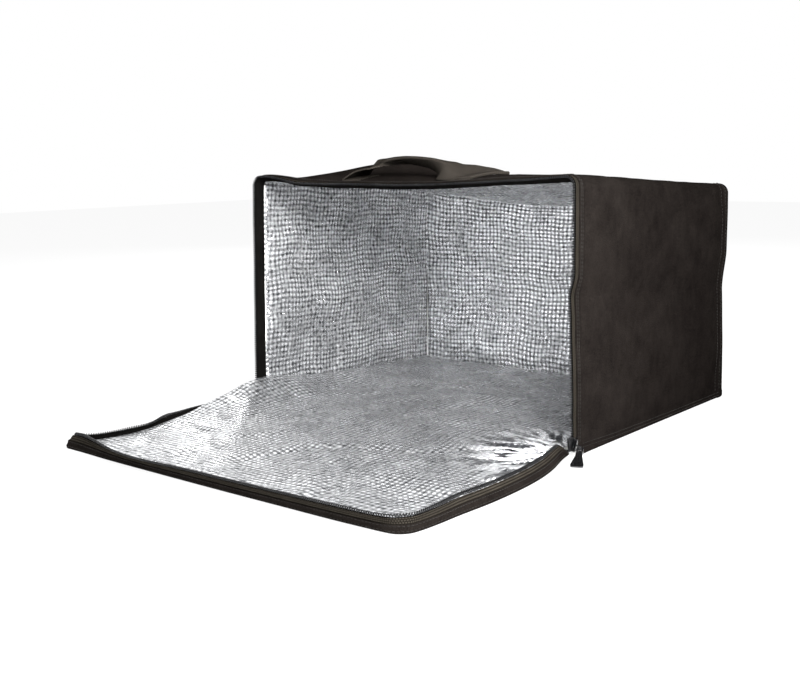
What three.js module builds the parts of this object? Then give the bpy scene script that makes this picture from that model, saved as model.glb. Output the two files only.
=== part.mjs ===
// Front-opening insulated carrying bag, standing open with its front flap laid out flat.
// Millimetres, +Z up, +X to the right and -Y towards the opening.
// The origin is the middle of the closed bag's footprint, on the surface it stands on.
import * as THREE from "three";

// Overall sizes of the bag
const bagWidth = 500;
const bagDepth = 400;
const bagHeight = 300;
const flapLength = 290;
const lipDepth = 20;
const cornerRadius = 12;

// Layers of a wall, from the outside in
const outerThickness = 1.2;
const foamThickness = 4.5;
const liningThickness = 0.8;
const layerGap = 0.3;

// Front band and zip
const bandWidth = 19;
const tapeThickness = 0.8;
const bandThickness = 1.5;
const coilWidth = 4.4;
const coilThickness = 2.8;
const coilInset = 0.2;
const zipHalfGap = 0.8;
const lipTapeWidth = 10.5;

// Slack of the top panel: its front edge hangs a little and its rear edge more, its back is lower and it
// is drawn up behind the handle
const frontSag = 9;
const sagReach = 60;
const rearSag = 25;
const rearSagReach = 280;
const rearDrop = 17;
const bulgeHeight = 18;
const bulgeX = -80;
const bulgeY = -55;
const bulgeHalfX = 75;
const bulgeHalfY = 55;

// Flap hinge
const hingeHeight = 0.6;
const hingeGapFlap = 0.75;
const hingeGapBody = 0.2;
const flapClearance = 0.6;
const tongueInset = 5.7;

// Zip slider, its bail and the puller
const sliderFootHeight = 6;
const sliderLength = 15;
const sliderWidth = 12;
const sliderNoseWidth = 8;
const sliderPlate = 1.6;
const sliderClearance = 0.4;
const bridgeThickness = 0.9;
const bailWire = 1.6;
const bailWidth = 2;
const bailLeg = 3.4;
const bailStandoff = 2.7;
const bailForward = 5.6;
const pullerClearance = 0.35;
const pullerLength = 38;
const pullerEndWidth = 14.5;
const pullerNeckWidth = 7.6;
const pullerThickness = 1.6;
const pullerEyeLength = 5.4;
const pullerEyeWidth = 3.8;
const pullerRim = 1.6;
const pullerSlotWidth = 7.4;
const pullerSlotHeight = 2.2;
const pullerSlotFromEnd = 4;
const pullerHeadRadius = 2.4;
const pullerEndRadius = 3;
const pullerShoulder = 0.45;
const pullerHeading = -66.5;
const pullerDip = 17;
const floorClearance = 0.2;

// Handles: webbing whose middle is folded in half to make the grip
const webbingWidth = 40;
const webbingThickness = 1.8;
const handleHalfSpan = 106;
const handleRise = 26;
const handlePower = 2.6;
const handleFromZip = 45;
const handleFromBack = 50;
const gripHalfLength = 60;
const tabLength = 27;
const rearHandleLean = 25;
const frontHandleTwist = 7;

// Places that follow from the sizes above
const halfWidth = bagWidth / 2;
const hingeY = -bagDepth / 2;
const backY = bagDepth / 2;
const zipY = hingeY + lipDepth;
const wallFrontY = zipY + bandWidth;
const flapFrontY = hingeY - flapLength;
const foamOuter = outerThickness + layerGap;
const foamInner = foamOuter + foamThickness;
const liningOuter = foamInner + layerGap;
const liningInner = liningOuter + liningThickness;
const bandOuter = tapeThickness + layerGap;
const bandInner = bandOuter + bandThickness;
const coilInner = coilInset + coilThickness;
const coilFrontY = zipY + zipHalfGap;
const coilBackY = coilFrontY + coilWidth;
const bandFrontY = coilBackY + layerGap;
const bandBackY = wallFrontY - layerGap;
const lipTop = hingeHeight + lipDepth - zipHalfGap;
const lipCoilFoot = lipTop - coilWidth;
const lipBandTop = lipCoilFoot - layerGap;
const tongueHalfWidth = halfWidth - tongueInset;
const tongueFrontY = hingeY + liningInner - hingeHeight + flapClearance;

const degrees = (angle) => (angle * Math.PI) / 180;
const lerp = (a, b, t) => a + (b - a) * t;

// Height of the top panel's outer face over the flat between the rounded edges.
function roofHeight(x, y) {
  const across = x / (halfWidth - cornerRadius);
  const rear = rearSag * THREE.MathUtils.smoothstep(y, backY - rearSagReach, backY);
  const sag = (1 - across * across) * (frontSag * Math.exp(-(y - zipY) / sagReach) + rear);
  const bulge = bulgeHeight * Math.exp(-(((x - bulgeX) / bulgeHalfX) ** 2) - ((y - bulgeY) / bulgeHalfY) ** 2);
  return edgeHeight(y) - sag + bulge;
}

// Height of the bag along its two long top edges, which fall towards the back.
function edgeHeight(y) {
  return bagHeight - (rearDrop * (y - zipY)) / (backY - zipY);
}

function springingHeight(y) {
  return edgeHeight(y) - cornerRadius;
}

// Section of the roof at one depth, from the left springing over the top to the right one, as [x, z].
function roofSection(y, offset, arcSteps = 5, topSteps = 14) {
  const points = [];
  const radius = cornerRadius - offset;
  const centreX = halfWidth - cornerRadius;
  for (let i = 0; i < arcSteps; i++) {
    const angle = (i / arcSteps) * (Math.PI / 2);
    points.push([-centreX - radius * Math.cos(angle), springingHeight(y) + radius * Math.sin(angle)]);
  }
  for (let i = 0; i <= topSteps; i++) {
    const x = lerp(-centreX, centreX, i / topSteps);
    points.push([x, roofHeight(x, y) - offset]);
  }
  for (let i = arcSteps - 1; i >= 0; i--) {
    const angle = (i / arcSteps) * (Math.PI / 2);
    points.push([centreX + radius * Math.cos(angle), springingHeight(y) + radius * Math.sin(angle)]);
  }
  return points;
}

// Closed solid between two grids of points; outer[i][j] faces away from inner[i][j].
function solidBetween(outer, inner) {
  const rows = outer.length;
  const columns = outer[0].length;
  const positions = [...outer.flat(), ...inner.flat()].flat();
  const index = [];
  const at = (side, i, j) => side * rows * columns + i * columns + j;
  const quad = (a, b, c, d) => index.push(a, b, c, a, c, d);
  for (let i = 0; i < rows - 1; i++) {
    for (let j = 0; j < columns - 1; j++) {
      quad(at(0, i, j), at(0, i, j + 1), at(0, i + 1, j + 1), at(0, i + 1, j));
      quad(at(1, i, j), at(1, i + 1, j), at(1, i + 1, j + 1), at(1, i, j + 1));
    }
    quad(at(0, i, 0), at(0, i + 1, 0), at(1, i + 1, 0), at(1, i, 0));
    quad(at(0, i, columns - 1), at(1, i, columns - 1), at(1, i + 1, columns - 1), at(0, i + 1, columns - 1));
  }
  for (let j = 0; j < columns - 1; j++) {
    quad(at(0, 0, j), at(1, 0, j), at(1, 0, j + 1), at(0, 0, j + 1));
    quad(at(0, rows - 1, j), at(0, rows - 1, j + 1), at(1, rows - 1, j + 1), at(1, rows - 1, j));
  }
  const geometry = new THREE.BufferGeometry();
  geometry.setAttribute("position", new THREE.Float32BufferAttribute(positions, 3));
  geometry.setIndex(index);
  if (signedVolume(positions, index) < 0) {
    geometry.setIndex(index.toReversed());
  }
  return geometry;
}

function signedVolume(positions, index) {
  const corner = (k) => new THREE.Vector3().fromArray(positions, 3 * index[k]);
  let volume = 0;
  for (let k = 0; k < index.length; k += 3) {
    volume += corner(k).dot(corner(k + 1).cross(corner(k + 2))) / 6;
  }
  return volume;
}

// A layer of the roof between two offsets and two depths.
function roofLayer(offsetOut, offsetIn, frontY, rearY, steps = 9) {
  const outer = [];
  const inner = [];
  for (let i = 0; i <= steps; i++) {
    const y = i === steps ? rearY : lerp(frontY, backY - foamOuter, (i / steps) ** 1.4);
    outer.push(roofSection(y, offsetOut).map(([x, z]) => [x, y, z]));
    inner.push(roofSection(y, offsetIn).map(([x, z]) => [x, y, z]));
  }
  return solidBetween(outer, inner);
}

function shapeOf(points) {
  return new THREE.Shape(points.map(([a, b]) => new THREE.Vector2(a, b)));
}

function extrude(shape, depth) {
  return new THREE.ExtrudeGeometry(shape, { depth, bevelEnabled: false, curveSegments: 6 });
}

// Plate whose outline is given as [x, y], from one height to another.
function plateAlongZ(outline, low, high) {
  return extrude(shapeOf(outline), high - low).translate(0, 0, low);
}

// Plate whose outline is given as [x, z], from one depth to another.
function plateAlongY(outline, front, rear) {
  return extrude(shapeOf(outline), rear - front).rotateX(Math.PI / 2).translate(0, rear, 0);
}

// Plate whose outline is given as [y, z], from one x to another.
function plateAlongX(outline, left, right) {
  const turn = new THREE.Matrix4().makeBasis(
    new THREE.Vector3(0, 1, 0),
    new THREE.Vector3(0, 0, 1),
    new THREE.Vector3(1, 0, 0),
  );
  return extrude(shapeOf(outline), right - left).applyMatrix4(turn).translate(left, 0, 0);
}

const rectangle = (a0, a1, b0, b1) => [
  [a0, b0],
  [a1, b0],
  [a1, b1],
  [a0, b1],
];

// Side wall layer: side is -1 for left and 1 for right.
function sideLayer(side, offsetOut, offsetIn, frontY, rearY, foot) {
  const x = [side * (halfWidth - offsetOut), side * (halfWidth - offsetIn)].sort((a, b) => a - b);
  const outline = [
    [frontY, foot],
    [rearY, foot],
    [rearY, springingHeight(rearY) - layerGap],
    [frontY, springingHeight(frontY) - layerGap],
  ];
  return plateAlongX(outline, x[0], x[1]);
}

// Back wall layer, whose top follows the roof at the given offset.
function backLayer(offsetOut, offsetIn, sideOffset, roofOffset, foot) {
  const y = backY - offsetIn;
  const reach = halfWidth - sideOffset;
  const top = roofSection(backY, roofOffset).filter(([x]) => Math.abs(x) <= reach + 0.001);
  const outline = [[-reach, foot], [reach, foot], ...top.toReversed()];
  return plateAlongY(outline, y, backY - offsetOut);
}

// Bottom layer: full width under the walls, with a narrower tongue out to the hinge.
function bottomLayer(sideOffset, backOffset, tongueFront, low, high) {
  const reach = halfWidth - sideOffset;
  const outline = [
    [-tongueHalfWidth, tongueFront],
    [tongueHalfWidth, tongueFront],
    [tongueHalfWidth, wallFrontY],
    [reach, wallFrontY],
    [reach, backY - backOffset],
    [-reach, backY - backOffset],
    [-reach, wallFrontY],
    [-tongueHalfWidth, wallFrontY],
  ];
  return plateAlongZ(outline, low, high);
}

// Outline of the flap at an offset from its edge, from the hinge round the front to the hinge, as [x, y].
function flapEdge(offset, startY, arcSteps = 6) {
  const points = [[halfWidth - offset, startY]];
  const centreX = halfWidth - cornerRadius;
  const centreY = flapFrontY + cornerRadius;
  const radius = cornerRadius - offset;
  for (let i = 0; i <= arcSteps; i++) {
    const angle = (i / arcSteps) * (Math.PI / 2);
    points.push([centreX + radius * Math.cos(angle), centreY - radius * Math.sin(angle)]);
  }
  for (let i = arcSteps; i >= 0; i--) {
    const angle = (i / arcSteps) * (Math.PI / 2);
    points.push([-centreX - radius * Math.cos(angle), centreY - radius * Math.sin(angle)]);
  }
  points.push([-halfWidth + offset, startY]);
  return points;
}

const flapStartY = hingeY - hingeGapFlap;

// Strip that runs round the flap's three free edges, between two offsets and two heights.
function flapStrip(offsetOut, offsetIn, low, high) {
  const outline = [...flapEdge(offsetOut, flapStartY), ...flapEdge(offsetIn, flapStartY).toReversed()];
  return plateAlongZ(outline, low, high);
}

// Part of that strip: the straight run along one side, or the front run with both corners.
function flapSideBand(side, low, high) {
  const x = [side * (halfWidth - bandOuter), side * (halfWidth - bandInner)].sort((a, b) => a - b);
  return plateAlongZ(rectangle(x[0], x[1], flapFrontY + cornerRadius + layerGap, flapStartY), low, high);
}

function flapFrontBand(low, high) {
  const front = (offset) => flapEdge(offset, flapStartY).slice(1, -1);
  return plateAlongZ([...front(bandOuter), ...front(bandInner).toReversed()], low, high);
}

// Strip that runs round the opening of the body, between two offsets and two depths.
function openingStrip(offsetOut, offsetIn, frontY, rearY, foot) {
  const edge = (offset) => [
    [-halfWidth + offset, foot],
    ...roofSection(zipY, offset),
    [halfWidth - offset, foot],
  ];
  return plateAlongY([...edge(offsetOut), ...edge(offsetIn).toReversed()], frontY, rearY);
}

// Handle webbing

// Rise of the handle's middle line above its feet.
const handleHeight = (x) => handleRise * (1 - Math.abs(x / handleHalfSpan) ** handlePower);

// Webbing through a row of stations {x, z, width, thickness, twist, lean, upright}. Each section lies
// across the webbing, or in an upright plane of one x where upright is set. It is turned about its
// middle by twist and about the handle's pivot line by lean.
function webbing(stations, y, pivotHeight) {
  const outer = [];
  const inner = [];
  const axis = new THREE.Vector3(1, 0, 0);
  const pivot = new THREE.Vector3(0, y, pivotHeight);
  for (let i = 0; i < stations.length; i++) {
    const here = stations[i];
    const before = stations[Math.max(i - 1, 0)];
    const after = stations[Math.min(i + 1, stations.length - 1)];
    const slope = here.upright ? 0 : after.z - before.z;
    const along = new THREE.Vector3(after.x - before.x, 0, slope).normalize();
    const across = new THREE.Vector3(0, 1, 0).applyAxisAngle(along, degrees(here.twist));
    const normal = new THREE.Vector3().crossVectors(along, across).normalize();
    const corner = (a, b) =>
      new THREE.Vector3(here.x, y, here.z)
        .addScaledVector(across, (a * here.width) / 2)
        .addScaledVector(normal, (b * here.thickness) / 2)
        .sub(pivot)
        .applyAxisAngle(axis, degrees(here.lean))
        .add(pivot)
        .toArray();
    outer.push([corner(-1, 1), corner(1, 1)]);
    inner.push([corner(-1, -1), corner(1, -1)]);
  }
  return solidBetween(outer, inner);
}

// Height of the panel under a handle's foot, taken at its highest point there.
function seatHeight(side, y) {
  let highest = 0;
  for (const reach of [0, 0.5, 1]) {
    for (const across of [-0.5, 0, 0.5]) {
      const x = side * (handleHalfSpan - reach * tabLength);
      highest = Math.max(highest, roofHeight(x, y + across * webbingWidth));
    }
  }
  return highest;
}

const footRise = 1.5 * webbingThickness + 2 * layerGap;

const handleSeat = (y) => Math.max(seatHeight(-1, y), seatHeight(1, y));

// Sewn end of a handle: a tab on the panel that folds back over itself and rises to the grip.
function handleEnd(side, y, lean, twist) {
  const tabZ = seatHeight(side, y) + layerGap + webbingThickness / 2;
  const base = handleSeat(y) + footRise;
  const flat = { width: webbingWidth, thickness: webbingThickness, twist: 0, lean: 0 };
  const stations = [];
  for (let i = 0; i <= 4; i++) {
    stations.push({ ...flat, x: side * (handleHalfSpan - tabLength * (1 - i / 4)), z: tabZ });
  }
  const foldRadius = (base - tabZ) / 2;
  for (let i = 1; i < 4; i++) {
    const angle = (i / 4) * Math.PI;
    stations.push({
      ...flat,
      x: side * (handleHalfSpan + foldRadius * Math.sin(angle)),
      z: tabZ + foldRadius * (1 - Math.cos(angle)),
    });
  }
  const legSteps = 8;
  for (let i = 0; i <= legSteps; i++) {
    const t = i / legSteps;
    const x = lerp(handleHalfSpan, gripHalfLength + layerGap, t);
    const fold = THREE.MathUtils.clamp((x - gripHalfLength) / (tabLength / 2), 0, 1);
    stations.push({
      x: side * x,
      z: base + handleHeight(x),
      width: lerp(webbingWidth / 2, webbingWidth, fold),
      thickness: webbingThickness,
      twist: twist * t,
      lean: lean * t,
      upright: i === legSteps,
    });
  }
  return webbing(stations, y, handleSeat(y));
}

// Grip: the webbing folded in half, between the two sewn ends.
function handleGrip(y, lean, twist) {
  const base = handleSeat(y) + footRise;
  const stations = [];
  const steps = 14;
  for (let i = 0; i <= steps; i++) {
    const x = lerp(-gripHalfLength, gripHalfLength, i / steps);
    stations.push({
      x,
      z: base + handleHeight(x),
      width: webbingWidth / 2,
      thickness: 2 * webbingThickness,
      twist: twist * (x / gripHalfLength),
      lean,
      upright: true,
    });
  }
  return webbing(stations, y, handleSeat(y));
}

// Zip slider

// Section of the slider as [x, y]: two plates either side of the coils, joined by a thin bridge.
function sliderBody() {
  const plateIn = halfWidth - coilInner - sliderClearance;
  const plateOut = halfWidth + sliderClearance;
  const rear = zipY + sliderWidth / 2;
  const front = zipY - sliderWidth / 2;
  const bridge = bridgeThickness / 2;
  const outline = [
    [plateIn - sliderPlate, front],
    [plateIn, front],
    [plateIn, zipY - bridge],
    [plateOut, zipY - bridge],
    [plateOut, front],
    [plateOut + sliderPlate, front],
    [plateOut + sliderPlate, rear],
    [plateOut, rear],
    [plateOut, zipY + bridge],
    [plateIn, zipY + bridge],
    [plateIn, rear],
    [plateIn - sliderPlate, rear],
  ];
  return taperedSlider(outline);
}

// The plates narrow towards the slider's lower end.
function taperedSlider(outline) {
  const geometry = plateAlongZ(outline, sliderFootHeight, sliderFootHeight + sliderLength);
  const position = geometry.getAttribute("position");
  for (let i = 0; i < position.count; i++) {
    const y = position.getY(i);
    const t = (position.getZ(i) - sliderFootHeight) / sliderLength;
    if (Math.abs(y - zipY) > bridgeThickness) {
      const half = lerp(sliderNoseWidth, sliderWidth, t) / 2;
      position.setY(i, zipY + Math.sign(y - zipY) * half);
    }
  }
  return geometry;
}

const sliderFaceX = halfWidth + sliderClearance + sliderPlate;
const pivotX = sliderFaceX + bailStandoff;
const pivotY = zipY - bailForward;
const pivotZ =
  floorClearance +
  (pullerLength - pullerRim / 2) * Math.sin(degrees(pullerDip)) +
  (pullerThickness / 2) * Math.cos(degrees(pullerDip));

// Bail: a staple of wire round the puller's rim, whose legs run back to the slider's outer plate.
function sliderBail() {
  const inner = Math.hypot(pullerRim, pullerThickness) / 2 + pullerClearance;
  const outer = inner + bailWire;
  const shape = new THREE.Shape();
  shape.moveTo(-bailLeg, -outer);
  shape.absarc(0, 0, outer, -Math.PI / 2, Math.PI / 2, false);
  shape.lineTo(-bailLeg, outer);
  shape.lineTo(-bailLeg, inner);
  shape.absarc(0, 0, inner, Math.PI / 2, -Math.PI / 2, true);
  shape.lineTo(-bailLeg, -inner);
  shape.closePath();
  return extrude(shape, bailWidth)
    .translate(0, 0, -bailWidth / 2)
    .rotateX(Math.PI / 2)
    .rotateZ(degrees(pullerHeading))
    .translate(pivotX, pivotY, pivotZ);
}

// Puller drawn flat with its rim on the x axis and its length along -y, then hung in the bail.
function puller() {
  const top = pullerRim / 2;
  const end = top - pullerLength;
  const neck = pullerNeckWidth / 2;
  const wide = pullerEndWidth / 2;
  const shoulder = lerp(top, end, pullerShoulder);
  const head = pullerHeadRadius;
  const round = pullerEndRadius;
  const shape = new THREE.Shape();
  shape.moveTo(-neck, top - head);
  shape.lineTo(-neck, shoulder);
  shape.lineTo(-wide, end + round);
  shape.quadraticCurveTo(-wide, end, -wide + round, end);
  shape.lineTo(wide - round, end);
  shape.quadraticCurveTo(wide, end, wide, end + round);
  shape.lineTo(neck, shoulder);
  shape.lineTo(neck, top - head);
  shape.quadraticCurveTo(neck, top, neck - head, top);
  shape.lineTo(-neck + head, top);
  shape.quadraticCurveTo(-neck, top, -neck, top - head);
  const eyeTop = top - pullerRim;
  shape.holes.push(holeShape(pullerEyeWidth, eyeTop - pullerEyeLength, eyeTop));
  const slotLow = end + pullerSlotFromEnd;
  shape.holes.push(holeShape(pullerSlotWidth, slotLow, slotLow + pullerSlotHeight));
  return extrude(shape, pullerThickness)
    .translate(0, 0, -pullerThickness / 2)
    .rotateX(degrees(pullerDip))
    .rotateZ(degrees(90 + pullerHeading))
    .translate(pivotX, pivotY, pivotZ);
}

function holeShape(width, low, high) {
  const points = rectangle(-width / 2, width / 2, low, high).toReversed();
  return new THREE.Path(points.map(([a, b]) => new THREE.Vector2(a, b)));
}

// Finishes
const finishes = {
  outer: { color: 0x2b2928, roughness: 0.62, metalness: 0 },
  band: { color: 0x191817, roughness: 0.7, metalness: 0 },
  tape: { color: 0x22201f, roughness: 0.75, metalness: 0 },
  coil: { color: 0x121212, roughness: 0.35, metalness: 0 },
  foam: { color: 0xe9e9e6, roughness: 0.9, metalness: 0 },
  lining: { color: 0xb4b8bd, roughness: 0.28, metalness: 0.9 },
  webbing: { color: 0x2a2827, roughness: 0.8, metalness: 0 },
  metal: { color: 0x0f0f10, roughness: 0.25, metalness: 0.6 },
};

const bag = new THREE.Group();

function add(name, finish, geometry) {
  const mesh = new THREE.Mesh(geometry, new THREE.MeshStandardMaterial(finishes[finish]));
  mesh.name = name;
  bag.add(mesh);
}

function addBottom() {
  add("outer_bottom", "outer", bottomLayer(0, 0, hingeY + hingeGapBody, 0, outerThickness));
  add("foam_bottom", "foam", bottomLayer(foamOuter, foamOuter, tongueFrontY, foamOuter, foamInner));
  add("lining_bottom", "lining", bottomLayer(liningOuter, liningOuter, tongueFrontY, liningOuter, liningInner));
}

function addSides() {
  for (const [name, side] of [
    ["left", -1],
    ["right", 1],
  ]) {
    const foamBack = backY - foamOuter;
    const liningBack = backY - liningOuter;
    add(`outer_${name}`, "outer", sideLayer(side, 0, outerThickness, wallFrontY, foamBack, foamOuter));
    add(`foam_${name}`, "foam", sideLayer(side, foamOuter, foamInner, wallFrontY, foamBack, liningOuter));
    add(
      `lining_${name}`,
      "lining",
      sideLayer(side, liningOuter, liningInner, wallFrontY, liningBack, liningInner + layerGap),
    );
  }
}

function addBack() {
  const liningSide = liningInner + layerGap;
  add("outer_back", "outer", backLayer(0, outerThickness, 0, 0, foamOuter));
  add("foam_back", "foam", backLayer(foamOuter, foamInner, liningOuter, liningOuter, liningOuter));
  add("lining_back", "lining", backLayer(liningOuter, liningInner, liningSide, liningSide, liningSide));
}

function addTop() {
  const foamBack = backY - foamOuter;
  const liningBack = backY - liningOuter;
  add("outer_top", "outer", roofLayer(0, outerThickness, wallFrontY, foamBack));
  add("foam_top", "foam", roofLayer(foamOuter, foamInner, wallFrontY, foamBack));
  add("lining_top", "lining", roofLayer(liningOuter, liningInner, wallFrontY, liningBack));
}

function addFrontBand() {
  for (const [name, side] of [
    ["left", -1],
    ["right", 1],
  ]) {
    add(`front_band_${name}`, "band", sideLayer(side, bandOuter, bandInner, bandFrontY, bandBackY, foamOuter));
  }
  add("front_band_top", "band", roofStripAtZip(bandOuter, bandInner, bandFrontY, bandBackY));
  add("zip_tape_body", "tape", openingStrip(0, tapeThickness, bandFrontY, bandBackY, foamOuter));
  add("zip_coil_body", "coil", openingStrip(coilInset, coilInner, coilFrontY, coilBackY, foamOuter));
}

// Roof strip whose section is the one at the zip.
function roofStripAtZip(offsetOut, offsetIn, frontY, rearY) {
  const section = [...roofSection(zipY, offsetOut), ...roofSection(zipY, offsetIn).toReversed()];
  return plateAlongY(section, frontY, rearY);
}

function addFlap() {
  const liningEdge = bandInner + layerGap;
  add("outer_flap", "outer", plateAlongZ(flapEdge(0, flapStartY), 0, outerThickness));
  add("foam_flap", "foam", plateAlongZ(flapEdge(liningEdge, flapStartY), foamOuter, foamInner));
  add("lining_flap", "lining", plateAlongZ(flapEdge(liningEdge, flapStartY), liningOuter, liningInner));
  add("lip_left", "band", flapSideBand(-1, foamOuter, lipBandTop));
  add("lip_right", "band", flapSideBand(1, foamOuter, lipBandTop));
  add("lip_front", "band", flapFrontBand(foamOuter, lipBandTop));
  add("zip_tape_flap", "tape", flapStrip(0, tapeThickness, lipBandTop - lipTapeWidth, lipBandTop));
  add("zip_coil_flap", "coil", flapStrip(coilInset, coilInner, lipCoilFoot, lipTop));
}

function addSlider() {
  add("slider_body", "metal", sliderBody());
  add("slider_bail", "metal", sliderBail());
  add("puller", "metal", puller());
}

function addHandles() {
  for (const [name, y, lean, twist] of [
    ["front", zipY + handleFromZip, 0, frontHandleTwist],
    ["rear", backY - handleFromBack, rearHandleLean, 0],
  ]) {
    add(`handle_${name}_end_left`, "webbing", handleEnd(-1, y, lean, -twist));
    add(`handle_${name}_end_right`, "webbing", handleEnd(1, y, lean, twist));
    add(`handle_${name}_grip`, "webbing", handleGrip(y, lean, twist));
  }
}

addBottom();
addSides();
addBack();
addTop();
addFrontBand();
addFlap();
addSlider();
addHandles();

export default bag;
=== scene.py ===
"""Looks of an insulated carrying bag that stands open with its front flap laid out.

Shapes are worked out in millimetres, in the frame's own axes, and become metres in MeshMaker.
"""

import logging
import math
from dataclasses import dataclass, field
from enum import Enum

import bmesh
import bpy
import numpy as np
from mathutils import Matrix, Vector


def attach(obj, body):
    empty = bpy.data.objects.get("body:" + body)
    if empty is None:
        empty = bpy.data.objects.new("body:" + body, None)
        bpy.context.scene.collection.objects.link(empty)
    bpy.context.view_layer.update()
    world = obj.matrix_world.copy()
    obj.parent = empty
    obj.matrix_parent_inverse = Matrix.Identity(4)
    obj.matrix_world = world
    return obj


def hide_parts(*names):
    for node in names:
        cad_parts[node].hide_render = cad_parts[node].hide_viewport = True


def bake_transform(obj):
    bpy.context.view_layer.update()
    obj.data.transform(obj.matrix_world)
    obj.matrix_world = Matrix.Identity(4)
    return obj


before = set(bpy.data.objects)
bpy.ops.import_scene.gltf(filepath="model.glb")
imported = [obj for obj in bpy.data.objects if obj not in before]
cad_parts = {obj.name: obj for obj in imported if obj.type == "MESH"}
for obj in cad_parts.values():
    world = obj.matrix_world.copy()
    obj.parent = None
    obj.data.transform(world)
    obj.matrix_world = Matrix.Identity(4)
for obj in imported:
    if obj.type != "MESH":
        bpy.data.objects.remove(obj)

Array = np.ndarray
MM = 0.001
LOG = logging.getLogger("bag")
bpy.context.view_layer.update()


def ease(share: Array) -> Array:
    """Smooth step 3t^2 - 2t^3 of a share, which is clipped to 0..1 first."""
    t = np.clip(share, 0.0, 1.0)
    return t * t * (3.0 - 2.0 * t)


def between(at: Array, start: float, rise: float, end: float, fall: float) -> Array:
    """Share that eases from 0 to 1 over the rise after the start, and back over the fall after the end."""
    return ease((at - start) / rise) * (1.0 - ease((at - end) / fall))


def bell(distance: Array, reach: Array | float) -> Array:
    """Bell curve exp(-(d/reach)^2)."""
    return np.exp(-((distance / reach) ** 2))


def curve(at: Array, knots: tuple[tuple[float, float], ...]) -> Array:
    """Smooth line through knots: cubic pieces whose slopes are the central differences.

    Args:
        at: Places where the value is wanted.
        knots: Place and value of each knot, places rising.

    Returns:
        One value for each place, the end values beyond the ends.
    """
    place, value = np.array(knots, float).T
    slope = np.gradient(value, place)
    i = np.clip(np.searchsorted(place, at) - 1, 0, len(place) - 2)
    span = place[i + 1] - place[i]
    t = np.clip((at - place[i]) / span, 0, 1)
    first = (1 + 2 * t) * (1 - t) ** 2 * value[i] + t * (1 - t) ** 2 * span * slope[i]
    return first + t**2 * (3 - 2 * t) * value[i + 1] + t**2 * (t - 1) * span * slope[i + 1]


def run_length(line: Array) -> Array:
    """Distance along a line of points to each of them."""
    return np.concatenate([[0], np.cumsum(np.linalg.norm(np.diff(line, axis=0), axis=1))])


def unit(vectors: Array) -> Array:
    """Vectors of length one, along the last axis."""
    return vectors / np.maximum(np.linalg.norm(vectors, axis=-1, keepdims=True), 1e-9)


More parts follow.
